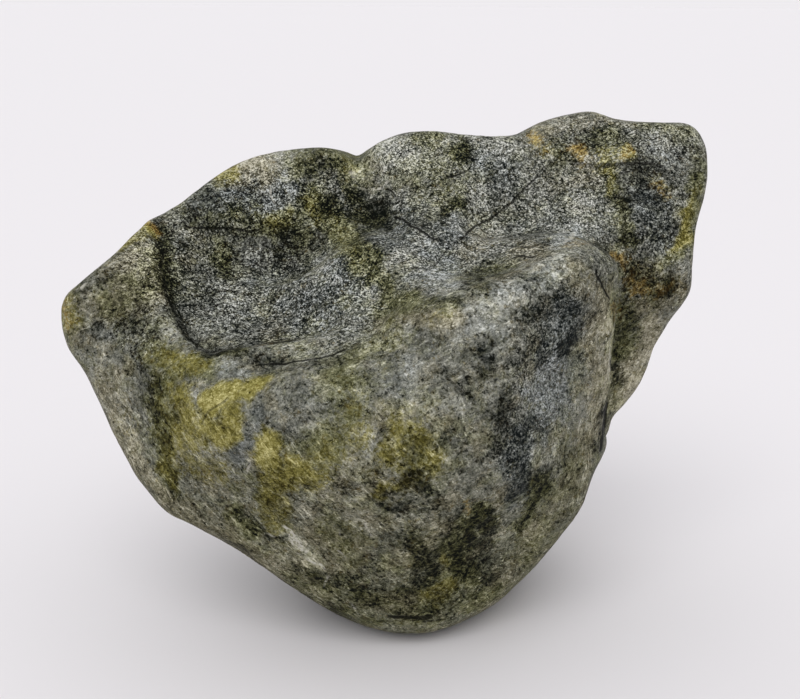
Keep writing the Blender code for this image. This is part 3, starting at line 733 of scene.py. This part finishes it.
        (7, 0.6, [(-28.5, 96), (-17, 96), (-13.5, 104.5)]), (4.5, 0.4, [(-39, 105), (-36, 101)]),
        (4.5, 0.6, [(-3, 114.5), (2, 119)]), (3, 0.7, [(10.5, 114.5), (17, 119)]),
        (3.5, 0.7, [(7.5, 103.5), (17, 106.5)]), (4.5, 0.7, [(31.5, 133.5), (27, 137)]),
        (3, 0.3, [(36.5, 120.5), (41, 118.5)]), (3.5, 0.3, [(47.5, 121.5), (50.5, 120)]),
        (4.5, 1, [(50.5, 92.5), (55.5, 86), (51, 78), (50, 68.5), (43, 54), (38, 40.5), (40, 34)]),
        (3, 0.5, [(25.5, 80), (27, 78)]), (5, 0.5, [(5.5, 76), (-1.5, 70.5)]),
        (3.5, 0.35, [(-29, 64.5), (-20, 64.5)]), (2, 0.9, [(-48, 44.5), (-46, 55), (-42.5, 60.5)]),
        (2.5, 0.7, [(-52.5, 74.5), (-46.5, 73.5)]), (2, 0.5, [(-14, 38), (-12, 34)]),
        (3, 0.7, [(-49, 125), (-36.5, 124.5)]), (4.5, 0.7, [(76, 126), (78.5, 116.5)]),
        (2, 0.7, [(70, 90), (72, 88)]), (2.5, 0.5, [(76.5, 142), (80.5, 140.5)]),
        (3, 0.5, [(32, 88), (35, 81.5)]), (5.5, 0.3, [(-52.5, 93), (-46.5, 96)]),
        (3.5, 0.3, [(-88.5, 87), (-86, 84)]), (3, 0.3, [(61, 126), (62.5, 120)]),
        (3, 0.4, [(-16.5, 111.5), (-13, 107.5)]),
    ],
    "olive": [
        (5.5, 0.5, [(0, 56), (6.5, 42.5)]), (3, 0.5, [(-98, 96.5), (-96.5, 89)]),
        (7, 0.6, [(-15, 72.5), (-17, 58), (-21.5, 48)]), (4.5, 0.5, [(0, 86.5), (-10.5, 80.5)]),
        (3.5, 0.5, [(-20.5, 24.5), (-14, 10.5)]), (3, 0.8, [(69.5, 94), (69.5, 80)]),
        (2, 0.5, [(67, 70), (69, 63)]), (3, 0.6, [(71, 103.5), (83, 99.5)]),
        (2, 0.7, [(61.5, 138), (65.5, 133.5), (67.5, 126), (70.5, 115.5)]),
        (4.5, 0.7, [(-69.5, 77.5), (-60.5, 76.5)]), (3.5, 0.5, [(-72, 65), (-71, 45.5), (-68.5, 35)]),
        (6, 0.4, [(-20, 54.5), (-29.5, 45)]), (7, 0.45, [(11.5, 10), (16.5, -1)]),
        (8, 0.3, [(24.5, 16.5), (15, -1)]), (5.5, 0.3, [(-82, 96.5), (-73.5, 87)]),
        (3, 0.9, [(-6.5, 106), (-3, 100.5), (1.5, 96), (5, 93)]),
        (2, 0.6, [(-5.5, 93), (7.5, 92), (17.5, 93.5)]),
        (1.5, 0.8, [(-13.5, 119), (-10, 111.5), (-6.5, 105)]),
        (4, 1, [(-24.5, 125), (-18, 120), (-13.5, 114), (-8, 107.5)]),
        (3, 0.7, [(-41.5, 120), (-28, 117)]), (3.5, 0.6, [(-9, 125), (-7, 122)]),
        (3, 0.5, [(-45.5, 122), (-57.5, 120)]), (1.5, 0.9, [(-37.5, 121), (-32, 122)]),
        (1.5, 0.8, [(-13.5, 131), (-11, 128.5)]), (2, 0.7, [(-25, 126), (-21.5, 128)]),
        (3.5, 0.7, [(-28.5, 136.5), (-14.5, 138), (-12.5, 133.5)]),
        (2, 0.8, [(-50.5, 113.5), (-49, 109.5)]),
        (4.5, 0.5, [(-16.5, 76), (-13.5, 71), (-15, 64.5), (-20, 54.5)]),
        (2.5, 0.4, [(-26, 51.5), (-20, 54.5)]), (5, 0.5, [(-85.5, 99), (-76, 99.5), (-73, 106)]),
        (4.5, 0.4, [(13.5, 138.5), (10, 132), (16, 129)]), (2.5, 0.8, [(17.5, 141), (19, 139.5)]),
        (1.5, 0.7, [(15.5, 125), (19, 125)]), (3, 0.5, [(31.5, 108), (25.5, 101.5)]),
        (2, 1, [(89, 132), (89.5, 124.5), (88, 114), (85, 109)]), (2.5, 0.6, [(47.5, 142), (51.5, 140)]),
        (2.5, 0.6, [(59, 144.5), (64.5, 143.5)]), (4.5, 0.5, [(1.5, -3.5), (12.5, -5)]),
        (5, 0.5, [(-30, 3.5), (-14, -4), (12, -7)]),
        (4.5, 0.35, [(52, 50.5), (56.5, 40.5), (50, 23.5), (41, 9.5)]),
        (3, 0.8, [(-48.5, 25), (-45.5, 21)]), (2, 0.8, [(-72, 72), (-71, 55), (-69, 37)]),
        (3, 0.9, [(18, 14), (24, 19), (28, 26.5)]), (3, 0.9, [(20, 10.5), (23, 4)]),
        (2, 0.8, [(46.5, 37), (43.5, 27.5), (40, 21)]),
        (2.5, 0.7, [(-68, 119), (-69.5, 111.5), (-68, 101)]), (3, 0.5, [(-33, 118), (-32, 112.5)]),
        (3, 0.4, [(5, 22), (8.5, 14)]), (1.5, 0.7, [(-52.5, 79.5), (-45.5, 81)]),
        (2, 0.5, [(74.5, 148), (83.5, 147)]), (3, 0.35, [(-42, 31.5), (-48.5, 38.5)]),
        (5, 0.25, [(-57.5, 114.5), (-53, 119)]), (3.5, 0.3, [(-63, 125), (-57, 126.5)]),
        (2, 0.6, [(10, 142.5), (7, 145.5)]), (3, 0.5, [(34.5, -1), (25, -4.5)]),
        (4.5, 0.25, [(-16.5, 93), (-28.5, 87)]),
    ],
    "mustard": [
        (3, 0.7, [(-62, 57.5), (-60, 52)]), (2.5, 0.55, [(-64, 65.5), (-59, 59.5)]),
        (2.5, 0.5, [(-98, 96.5), (-96.5, 91)]), (1, 1, [(-73.5, 120), (-71.5, 118)]),
        (3, 0.6, [(-69.5, 78.5), (-62, 77)]), (4, 0.8, [(-65.5, 66), (-64.5, 56.5), (-62.5, 50)]),
        (3.5, 0.9, [(-56.5, 56.5), (-53, 53)]),
        (2.5, 1, [(-55.5, 63), (-53, 66.5), (-45.5, 68.5), (-40.5, 70.5)]),
        (2.5, 0.85, [(-50, 62), (-51, 51.5)]), (2, 0.6, [(-69.5, 52), (-70, 42), (-67, 36.5)]),
        (4.5, 0.45, [(-67, 42), (-58, 42.5)]), (3.5, 0.45, [(-69, 71.5), (-69.5, 58.5)]),
        (3, 0.95, [(-40.5, 51.5), (-39.5, 43)]), (4, 0.8, [(-39.5, 35), (-34, 41)]),
        (3, 0.75, [(-32.5, 37.5), (-28, 41.5)]), (3, 0.6, [(-35.5, 30.5), (-38, 25.5)]),
        (2, 0.5, [(-26, 36.5), (-22.5, 40.5)]), (4.5, 0.45, [(-28, 42), (-20, 48), (-12, 51)]),
        (3, 0.35, [(-15.5, 56), (-12, 62.5)]),
        (5, 0.6, [(2, 55), (5.5, 49), (1, 45), (5.5, 41.5), (9.5, 43.5)]),
        (2, 0.5, [(-3, 52.5), (-1.5, 51)]), (3, 0.35, [(-4.5, 41), (2, 34.5)]),
        (1.5, 0.5, [(-3, 35), (2.5, 36)]), (3, 0.55, [(12, -3), (17, -1)]),
        (1.5, 0.7, [(-4.5, 35.5), (-0.5, 34.5)]), (2, 0.5, [(-25, 126.5), (-23.5, 122)]),
        (1.5, 0.3, [(-22, 120.5), (-18, 118.5), (-13.5, 112.5), (-10, 109)]),
        (1.5, 0.45, [(-37.5, 120.5), (-33, 121.5)]), (1.5, 0.25, [(-13.5, 119), (-11, 120)]),
        (1.5, 0.15, [(0.5, 89.5), (10.5, 89), (17, 90.5)]),
        (1.5, 0.9, [(87, 121.5), (88, 114), (86, 112)]), (1.5, 0.5, [(88.5, 127.5), (88.5, 121.5)]),
        (2, 0.7, [(-53, 133.5), (-48, 134.5)]), (1.5, 0.6, [(-75, 116.5), (-81.5, 111.5)]),
        (1.5, 0.5, [(15, 10), (17, 7.5)]), (1.5, 0.4, [(-13.5, 136.5), (-14.5, 138.5)]),
        (1, 0.7, [(61.5, 137.5), (64.5, 134.5), (66.5, 129)]), (0.9, 0.5, [(59.5, 141), (62, 140)]),
        (1, 0.6, [(60.5, 142), (61.5, 140)]), (1, 0.7, [(66, 141), (68.5, 140)]),
        (1.5, 0.45, [(41.5, 144), (45.5, 140.5)]), (1.5, 0.4, [(77, 132), (79.5, 127.5)]),
        (1, 0.6, [(-73.5, 120), (-76.5, 115)]),
    ],
    "tan": [
        (3, 0.9, [(80, 88.5), (75.5, 79.5), (74.5, 71.5), (70, 63.5)]),
        (3, 0.7, [(63.5, 95.5), (62.5, 80), (64, 63.5)]), (2, 0.5, [(76.5, 105.5), (79, 103)]),
        (3, 0.5, [(58, 135.5), (60.5, 132)]), (6, 0.8, [(-87.5, 96.5), (-73.5, 107.5), (-74.5, 99.5)]),
        (3.5, 0.8, [(-47, 133.5), (-38, 135)]), (2, 0.6, [(-38, 90), (-35, 86.5)]),
        (3.5, 0.6, [(37, 111), (44, 111), (40.5, 106.5)]), (3, 0.4, [(35, 103), (32, 99)]),
        (2, 0.8, [(-5, 89.5), (10.5, 88), (18.5, 89.5)]), (2.5, 0.5, [(-8, 83), (2, 86.5)]),
        (4.5, 0.4, [(-4.5, 57.5), (14, 57)]), (6, 0.5, [(-17, 41.5), (-14, 24), (-20.5, 10.5)]),
        (3.5, 0.5, [(-51.5, 35), (-58, 38.5)]), (5.5, 0.6, [(-23.5, 21), (-13.5, 10.5)]),
        (4.5, 0.6, [(-36.5, 10.5), (-24, 0)]), (4.5, 0.5, [(2, 10), (15, 20.5)]),
        (3.5, 0.7, [(-8.5, -4), (6, -6.5)]),
        (3, 0.7, [(-88.5, 71.5), (-82, 48.5), (-72, 31), (-55, 21.5), (-36.5, 3.5)]),
        (3.5, 0.6, [(63.5, 86), (63, 63.5), (57.5, 37), (49, 20), (34.5, 2.5)]),
        (3, 0.8, [(79, 89.5), (70.5, 63.5)]), (2, 0.5, [(42, 148), (59.5, 150), (72, 148)]),
        (3, 0.7, [(74.5, 96), (81.5, 95.5)]), (3, 0.8, [(72.5, 103.5), (85.5, 100)]),
        (2, 0.6, [(-97, 96.5), (-94.5, 89)]), (3.5, 0.4, [(48.5, 135), (56, 136.5)]),
        (3, 0.4, [(-61, 111.5), (-57.5, 116)]), (3.5, 0.4, [(44.5, -1.5), (28.5, -8)]),
        (3, 0.4, [(-89, 81), (-84, 74)]), (3, 0.5, [(53, 103.5), (59, 99)]),
        (3, 0.4, [(25.5, 114.5), (21, 113)]),
    ],
    "ochre": [
        (0.8, 1, [(-72, 120.5), (-71, 118.5)]), (1, 0.7, [(40.5, 146.5), (43, 144.5)]),
        (1, 0.5, [(42.5, 142), (45.5, 141)]), (1.5, 1, [(53.5, 142.5), (54.5, 140.5)]),
        (0.9, 0.5, [(68, 140.5), (66.5, 140)]), (1, 0.8, [(67, 110), (69.5, 107.5)]),
        (1, 0.7, [(70.5, 104.5), (72.5, 100.5)]), (2, 0.42, [(73, 103), (78, 99.5), (84.5, 100)]),
        (1, 0.5, [(68, 92), (69.5, 90)]), (0.9, 0.35, [(53, 113), (58.5, 114)]),
        (0.9, 0.5, [(77, 131), (79, 127)]), (1, 0.4, [(-98, 95), (-96.5, 91)]),
        (0.9, 0.45, [(22.5, 32.5), (23, 27)]), (0.9, 0.4, [(-40.5, 83.5), (-36, 84)]),
    ],
    "crisp": [
        (14, 1, [(-64, 108.5), (-43.5, 99.5), (-15, 100.5)]), (9, 1, [(-45.5, 125), (-16.5, 126.5)]),
        (15, 0.95, [(7.5, 116), (31, 123.5), (56.5, 127.5)]), (7, 0.9, [(1.5, 139.5), (32, 139.5)]),
        (10, 0.7, [(75.5, 136.5), (78, 115.5)]), (5.5, 0.8, [(51, 145.5), (86.5, 144)]),
        (7.5, 0.5, [(50.5, 92.5), (46.5, 70.5), (38, 47.5)]), (4.5, 0.4, [(-28, 136.5), (-42.5, 135)]),
        (3.5, 0.6, [(-19.5, 86.5), (-4.5, 90)]), (4.5, 0.4, [(-82.5, 90.5), (-77, 82.5)]),
    ],
}
# For each colour round the back: width of its patches in mm, and how high the noise stands where they start
BACK_PATCHES = {
    "dark": (30, 0.1), "pale": (26, 0.02), "blue": (38, -0.05), "olive": (30, 0.0), "mustard": (34, 0.16),
    "tan": (40, -0.08), "ochre": (12, 0.36), "crisp": (50, -0.1),
}
STROKE_REACH = 1.9  # a stroke has faded out this many half-widths, and 1 mm, from its path
BACK_STRENGTH = 0.85  # the strength of a patch
BACK_EDGE = 0.42  # how far the noise rises from no colour to all of it


def brushed(points, strokes):
    """The strongest stroke at each point: full over the middle of its width, with a soft fade. Noise in
    curls 12 mm and 4 mm wide bends the strokes by up to 4 mm and 2 mm."""
    spots = seen_from_eye(points + 4 * smear(points, 12, 2.6) + 2 * smear(points, 4, 7.7))
    laid = np.zeros(len(points))
    for half_width, strength, path in strokes:
        distance, _, _ = near_path(spots, path)
        laid = np.maximum(laid, strength * smooth(1.2 * (1 - distance / (STROKE_REACH * half_width + 1))))
    return laid


def back_patches(points, width, bare, shift):
    """Patches about `width` mm wide where layered hills, bent by others, rise above the height `bare`."""
    bent = points + 0.35 * width * smear(points, 0.7 * width, shift + 1.9)
    return BACK_STRENGTH * smooth((rough(bent, width, 5, shift) - bare) / BACK_EDGE)


near = faces_eye(worn, -0.45, -0.05)
masks = {}
for k, (colour, strokes) in enumerate(BRUSHED.items()):
    width, bare = BACK_PATCHES[colour]
    behind = back_patches(worn, width, bare, 20.0 + 3 * k)
    masks[colour] = near * brushed(worn, strokes) + (1 - near) * behind
    print(colour, "covers", round(100 * (masks[colour] > 0.5).mean(), 1), "% of the skin")

# %% Ridges and hollows
def crest(points, rounds):
    """How far each point stands out from the mean of its neighbourhood, in mm: positive on a ridge."""
    calm = points
    for _ in range(rounds):
        calm = neighbour_mean(calm, edges)
    return ((points - calm) * normals_of(points)).sum(axis=1)


CREST = 0.25  # mm: as far out counts as all ridge, and as far in as all hollow
ridge = np.clip(0.5 + 0.5 * crest(skin, 6) / CREST, 0, 1)
print("ridges and hollows", np.round(np.percentile(ridge, (5, 50, 95)), 2))

# %% The piece
def placed(name, data):
    """A new object in the scene, with this mesh, lamp or camera."""
    made = bpy.data.objects.new(name, data)
    bpy.context.scene.collection.objects.link(made)
    return made


mesh = bpy.data.meshes.new("stone_skin")
mesh.from_pydata(skin * MM, [], squares)
mesh.shade_smooth()
fields = {**masks, "ridge": ridge, "crack_side": crack_side, "crack_open": crack_open}
for name, values in fields.items():
    mesh.attributes.new(name, "FLOAT", "POINT").data.foreach_set("value", values.astype(np.float32))
stone = placed("stone_skin", mesh)
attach(stone, "root")
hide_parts("hakkai_stone")
print("the stone has", len(mesh.polygons), "squares and", len(fields), "fields")

# %% [markdown]
# ## The rock as a material
#
# Close up the rock is salt and pepper: grains of half a millimetre to a millimetre, pale felspar in a
# dark green matrix, with white flecks that are drawn out along the folds. A picture wrapped round the
# stone would stretch and would need a seam. Noise that is worked out in space from the object's own
# coordinates has neither, and keeps its size in millimetres everywhere. One tone from dark to pale runs
# through a ramp of greys, and each colour of weather is another ramp for the same tone, so that the grain
# shows through every stain.

# %% Small helpers for nodes
finish = bpy.data.materials.new("speckled_stone")
finish.use_nodes = True
tree = finish.node_tree
shader = tree.nodes["Principled BSDF"]


def add(kind, inputs=(), on=tree, **settings):
    """A new node with its settings and inputs: an input is a number, a colour or another node's socket."""
    made = on.nodes.new(kind)
    for name, value in settings.items():
        setattr(made, name, value)
    for name, value in dict(inputs).items():
        if isinstance(value, bpy.types.NodeSocket):
            on.links.new(value, made.inputs[name])
        else:
            made.inputs[name].default_value = value
    return made


def calc(operation, *values, clamp=False):
    """One sum with up to three values, such as the first times the second plus the third."""
    return add("ShaderNodeMath", enumerate(values), operation=operation, use_clamp=clamp).outputs[0]


def rise(value, low, high, to=1.0):
    """0 below low and `to` above high, with a smooth rise between: the edge of a stain or a fleck."""
    inputs = {"Value": value, "From Min": low, "From Max": high, "To Max": to}
    return add("ShaderNodeMapRange", inputs, interpolation_type="SMOOTHSTEP").outputs[0]


def ramp(value, *stops):
    """A colour for every tone: the stops are (tone, (red, green, blue)), from dark to pale."""
    made = add("ShaderNodeValToRGB", {"Fac": value})
    while len(made.color_ramp.elements) < len(stops):
        made.color_ramp.elements.new(1)
    for element, (tone, colour) in zip(made.color_ramp.elements, stops):
        element.position, element.color = tone, (*colour, 1)
    return made.outputs["Color"]


def over(under, upper, share):
    """One colour laid over another, by the share of each point."""
    return add("ShaderNodeMix", {0: share, 6: under, 7: upper}, data_type="RGBA").outputs[2]


def rest(share):
    """What a share leaves of the whole."""
    return calc("SUBTRACT", 1.0, share)


def field(name):
    """The numbers kept on the points under this name."""
    return add("ShaderNodeAttribute", attribute_name=name).outputs["Fac"]


print("the finish is", finish.name)

# %% Noise in millimetres
CURL, BEND = 6.25, 3.5  # how wide the curls are that bend the grain, and how far they bend it, in mm

place = add("ShaderNodeTexCoord").outputs["Object"]
right, _, up = add("ShaderNodeSeparateXYZ", {0: place}).outputs
curls = add("ShaderNodeTexNoise", {"Vector": place, "Scale": 1 / MM / CURL, "Detail": 3.0}).outputs["Color"]
bending = {0: curls, 1: (BEND * MM,) * 3, 2: place}
bent = add("ShaderNodeVectorMath", bending, operation="MULTIPLY_ADD").outputs[0]


def grain(width, detail, roughness, lie=(0, 0, 0), draw=(1, 1, 1), shift=0):
    """Noise in blotches `width` mm wide, drawn out `draw` times along the axes once turned by `lie`."""
    scale = [1 / MM / (width * d) for d in draw]
    turned = {"Vector": bent, "Rotation": [math.radians(-a) for a in lie]}
    turned = add("ShaderNodeMapping", turned, vector_type="POINT").outputs[0]
    sized = {"Vector": turned, "Location": (shift,) * 3, "Scale": scale}
    sized = add("ShaderNodeMapping", sized).outputs[0]
    inputs = {"Vector": sized, "Scale": 1.0, "Detail": detail, "Roughness": roughness}
    return add("ShaderNodeTexNoise", inputs).outputs["Fac"]


def crystals(width):
    """A random tone for each crystal: crystals are the cells round seeds about `width` mm apart."""
    made = add("ShaderNodeTexVoronoi", {"Vector": place, "Scale": 1 / MM / width})
    return add("ShaderNodeSeparateColor", {0: made.outputs["Color"]}).outputs[0]


clouds = grain(20, 3, 0.55)
clumps = grain(6, 3, 0.6, shift=3)
grains = grain(2.2, 3, 0.75, shift=7)
pepper = grain(1.3, 3, 0.75, shift=11)
salt = grain(1.3, 3, 0.7, shift=17)
speckle, dust = crystals(0.75), crystals(0.36)
along_lip = grain(0.9, 2, 0.7, lie=(0, -24, 0), draw=(5, 2, 1), shift=23)
down_belly = grain(0.9, 2, 0.7, lie=(0, 52, 0), draw=(6, 2, 1), shift=27)
down_cheek = grain(0.9, 2, 0.7, lie=(0, 6, 0), draw=(1, 1, 7), shift=29)
print("noises from 20 mm down to 0.5 mm")

# %% [markdown]
# The tone says how dark or pale each spot is. Noises of every width sway it about the middle, from clouds
# a thumb wide to single crystals, and the brushed masks push it up or down. Where the rock is crisp, on
# the washed top, the crystals count for more and the soft noises for less.

# %% The tone
dark, pale, blue, olive, mustard, tan, ochre, crisp = (field(name) for name in BRUSHED)


def sway(value, amount, onto, middle=0.5):
    """Noise about its mean, times an amount, added onto a tone."""
    return calc("MULTIPLY_ADD", calc("SUBTRACT", value, middle), amount, onto)


def ragged(mask, shift, width, by=1.8, bare=0.0):
    """A brushed mask, with its edge broken up by the grain, from blotches down to single crystals."""
    return rise(sway(speckle, 0.3, sway(grain(width, 4, 0.75, shift=shift), by, mask)), bare, 0.95)


def dull_to_crisp(on_dull, on_crisp):
    """An amount that is one number on dull skin and another where the rock is crisp."""
    return calc("MULTIPLY_ADD", crisp, on_crisp - on_dull, on_dull)


dark_and_shade, paler = ragged(dark, 51, 4), ragged(pale, 53, 4)
tone = sway(clouds, 0.25, dull_to_crisp(0.458, 0.448))
tone = sway(clumps, dull_to_crisp(0.55, 0.45), tone)
tone = sway(grains, dull_to_crisp(0.6, 0.2), tone)
tone = sway(dust, dull_to_crisp(0.25, 0.93), tone)
tone = sway(calc("POWER", speckle, 3.0), dull_to_crisp(-0.18, -0.26), tone, 0.25)
# the dark mask pushes the tone down for its dark patches and for its painted shade alike
for mask, push in ((paler, 0.18), (dark_and_shade, -0.3), (olive, -0.06)):
    tone = calc("MULTIPLY_ADD", mask, push, tone)
tone = sway(field("ridge"), 0.12, tone)
print("the tone takes", len(tree.nodes), "nodes")

# %% [markdown]
# The rock has been sheared, so its grain is drawn out into fibres: along the lip, slanting down the
# belly, and upright on the cheek. Dark hornblende is the pepper and bright felspar the salt. Both are
# peaks of a fine noise, so they have the ragged shapes of broken crystals, which round dots would not
# give.

# %% Fibres, pepper and salt
to_the_right = rise(right, 35 * MM, 55 * MM)
below_the_lip = rest(rise(up, 70 * MM, 95 * MM))
fibre = over(along_lip, down_belly, below_the_lip)
fibre = over(fibre, down_cheek, calc("MULTIPLY", to_the_right, below_the_lip))
tone = sway(fibre, dull_to_crisp(0.5, 0.1), tone)
threads = rise(fibre, 0.60, 0.72, to=0.2)
thick = calc("MULTIPLY_ADD", dark_and_shade, 0.07, calc("MULTIPLY_ADD", mustard, -0.06, pepper))
peppered = calc("MULTIPLY", rise(thick, 0.56, 0.66), dull_to_crisp(0.32, 0.44))
strewn = calc("MULTIPLY_ADD", paler, 0.05, salt)
salted = calc("MULTIPLY", rise(strewn, 0.62, 0.72), dull_to_crisp(0.2, 0.08))
tone = calc("ADD", calc("ADD", calc("SUBTRACT", tone, peppered), salted), threads, clamp=True)

print("with fibres, pepper and salt it takes", len(tree.nodes))

# %% [markdown]
# Bare rock is grey. Algae tint it green in patches, and iron tints it brown. Towards the ground it turns
# darker and greener. Then come the brushed colours, one over the other, with mustard and ochre on top,
# since lichen and rust lie on everything else.

# %% The colours
greys = ramp(tone, (0.0, (0.002, 0.003, 0.001)), (0.3, (0.054, 0.056, 0.046)),
             (0.55, (0.163, 0.164, 0.137)), (0.8, (0.345, 0.345, 0.295)), (1.0, (0.67, 0.66, 0.59)))
blues = ramp(tone, (0.0, (0.001, 0.004, 0.005)), (0.3, (0.050, 0.057, 0.055)),
             (0.55, (0.150, 0.163, 0.159)), (1.0, (0.53, 0.57, 0.59)))
olives = ramp(tone, (0.0, (0.001, 0.002, 0.001)), (0.3, (0.047, 0.048, 0.017)),
              (0.55, (0.153, 0.154, 0.075)), (1.0, (0.56, 0.55, 0.35)))
mustards = ramp(tone, (0.0, (0.013, 0.011, 0.001)), (0.3, (0.083, 0.073, 0.014)),
                (0.55, (0.213, 0.191, 0.052)), (1.0, (0.63, 0.58, 0.27)))
tans = ramp(tone, (0.0, (0.005, 0.004, 0.001)), (0.3, (0.065, 0.058, 0.033)), (0.55, (0.185, 0.168, 0.108)),
            (1.0, (0.63, 0.59, 0.45)))
ochres = ramp(tone, (0.0, (0.025, 0.013, 0.001)), (0.45, (0.238, 0.161, 0.046)), (1.0, (0.63, 0.51, 0.21)))
# darker and greener towards the ground
near_the_ground = rest(rise(up, 15 * MM, 85 * MM))
green_tinge = rise(grain(11, 4, 0.75, shift=61), 0.46, 0.64, to=0.55)
brown_tinge = rise(grain(8, 4, 0.75, shift=67), 0.48, 0.66, to=0.6)

# Each layer lies over the last: its colours, and how much of it there is at each point
LAYERS = [
    (olives, calc("MULTIPLY_ADD", near_the_ground, 0.4, green_tinge, clamp=True)),
    (tans, calc("MULTIPLY_ADD", crisp, -0.3, brown_tinge, clamp=True)),
    (blues, calc("MULTIPLY_ADD", crisp, 0.2, calc("MULTIPLY", ragged(blue, 31, 6), 0.6), clamp=True)),
    (tans, calc("MULTIPLY", ragged(tan, 37, 7), 0.8)),
    (olives, calc("MULTIPLY", ragged(olive, 41, 6), 0.9)),
    (mustards, ragged(mustard, 43, 6, 1.15, 0.06)),
    (ochres, ragged(ochre, 47, 2.5, 1.4, 0.1)),
]
skin_colour = greys
for colours, share in LAYERS:
    skin_colour = over(skin_colour, colours, share)
print("six ramps and", len(tree.nodes), "nodes")

# %% [markdown]
# A crack is a hair wide, much finer than the grid, so it is painted from the distance kept on the points.
# Hollow ones are nearly black. Healed ones are white veins, and only some of their crystals still show.
# The dark line behind the corner of the lobe is painted shade drawn the same way, and the line low on the
# foot is a crack that is partly painted shade under a small overhang.

# %% Cracks
CRACK_COLOUR, VEIN_COLOUR = (0.002, 0.002, 0.001, 1), (0.50, 0.485, 0.42, 1)

strength = field("crack_open")
from_line = calc("ABSOLUTE", calc("ADD", field("crack_side"), calc("MULTIPLY_ADD", grains, 1.8, -0.9)))
line = rest(rise(from_line, 0.6, 1.3))
cracked = calc("MULTIPLY", line, rise(strength, 0.05, 0.9))
pale_line = calc("MULTIPLY", line, rise(calc("MULTIPLY", strength, -1.0), 0.05, 0.9))
veined = calc("MULTIPLY", rise(speckle, 0.1, 0.7, to=0.8), pale_line)
skin_colour = over(skin_colour, CRACK_COLOUR, calc("MULTIPLY", cracked, 0.92))
skin_colour = over(skin_colour, VEIN_COLOUR, veined)
tree.links.new(skin_colour, shader.inputs["Base Color"])

print("cracks and veins are the last colours, after", len(tree.nodes), "nodes")

# %% [markdown]
# Water has worn the stone matt. It mirrors a tenth of what a polished one would, all over alike, so that
# is one number on the shader, and the roughness varies with the grain. The grain also stands a few tenths
# of a millimetre proud, which a bump gives for far less than a finer grid would.

# %% Gloss and roughness
DULLNESS = 0.05  # the shader's specular level, which is 0.5 on polished stone
GRAIN_HEIGHT = 0.6  # mm that a height of 1 stands for

matt = calc("MULTIPLY_ADD", clumps, 0.3, calc("MULTIPLY_ADD", grains, -0.25, 0.62))
tree.links.new(calc("MULTIPLY_ADD", olive, 0.12, matt), shader.inputs["Roughness"])
shader.inputs["Specular IOR Level"].default_value = DULLNESS

height = calc("MULTIPLY", peppered, -0.8)
for part, amount in ((clumps, 1.0), (grains, 0.6), (fibre, 0.35), (cracked, -1.0)):
    height = calc("MULTIPLY_ADD", part, amount, height)
bump = add("ShaderNodeBump", {"Strength": 0.6, "Distance": GRAIN_HEIGHT * MM, "Height": height})
tree.links.new(bump.outputs["Normal"], shader.inputs["Normal"])
mesh.materials.append(finish)
print(len(tree.nodes), "nodes in the finish")

# %% [markdown]
# ## The studio
#
# The stone stands on a plain pale floor. A pale world lights it all round, brighter overhead, as a white
# room does, and one very soft sun from the front models the form. A sun lights the whole floor alike.

# %% Floor
REACH = 200.0  # m to each side
FLOOR_COLOUR = (0.76, 0.737, 0.752, 1)

floor_mesh = bpy.data.meshes.new("floor")
floor_corners = REACH * np.array([(-1, -1, 0), (1, -1, 0), (1, 1, 0), (-1, 1, 0)])
floor_mesh.from_pydata(floor_corners, [], [(0, 1, 2, 3)])
floor = placed("floor", floor_mesh)
plaster = bpy.data.materials.new("pale_floor")
plaster.use_nodes = True
coat = plaster.node_tree.nodes["Principled BSDF"]
coat.inputs["Base Color"].default_value = FLOOR_COLOUR
coat.inputs["Roughness"].default_value = 0.7
floor_mesh.materials.append(plaster)
print("a plain floor", 2 * REACH, "m wide, so that its edge is never seen")

# %% Light
WALL_COLOUR = (0.862, 0.841, 0.866, 1)
LOW_SKY, HIGH_SKY = 0.66, 0.98  # how bright the room is along the floor and overhead
SUN_RAYS = (0.2, 0.8, -0.95)  # to the right, back and down

world = bpy.data.worlds.new("studio")
world.use_nodes = True
sky = world.node_tree
direction = add("ShaderNodeTexCoord", on=sky).outputs["Generated"]
steepness = add("ShaderNodeSeparateXYZ", {0: direction}, on=sky).outputs["Z"]
span = {"Value": steepness, "From Max": 0.9, "To Min": LOW_SKY, "To Max": HIGH_SKY}
glow = add("ShaderNodeMapRange", span, on=sky).outputs[0]
room = add("ShaderNodeBackground", {"Color": (0.98, 0.98, 1.0, 1), "Strength": glow}, on=sky).outputs[0]
wall = add("ShaderNodeBackground", {"Color": WALL_COLOUR}, on=sky).outputs[0]
looked_at = add("ShaderNodeLightPath", on=sky).outputs["Is Camera Ray"]
seen = add("ShaderNodeMixShader", {0: looked_at, 1: room, 2: wall}, on=sky).outputs[0]
sky.links.new(seen, sky.nodes["World Output"].inputs["Surface"])
bpy.context.scene.world = world
bpy.context.scene.view_settings.view_transform = "Standard"

sun = bpy.data.lights.new("soft_sun", "SUN")
sun.energy, sun.angle = 1.15, math.radians(45)
lamp = placed("soft_sun", sun)
lamp.rotation_euler = Vector(SUN_RAYS).to_track_quat("-Z", "Y").to_euler()
print("one soft sun from the front and the left, over", math.degrees(sun.angle), "degrees")

# %% Camera
lens = bpy.data.cameras.new("camera")
lens.sensor_width, lens.lens, lens.clip_start = 36.0, 54.464, 0.01
camera = placed("camera", lens)
camera.location = (-0.01550, -0.35385, 0.1817)
yaw, pitch, roll = (math.radians(a) for a in (-2.69, -15.904, 0.33))
swing, tilt = Euler((0, 0, yaw)).to_matrix(), Euler((math.pi / 2 + pitch, 0, 0)).to_matrix()
camera.rotation_euler = (swing @ tilt @ Euler((0, 0, roll)).to_matrix()).to_euler()
bpy.context.scene.camera = camera
print("the camera looks down by", -round(math.degrees(pitch), 1), "degrees")
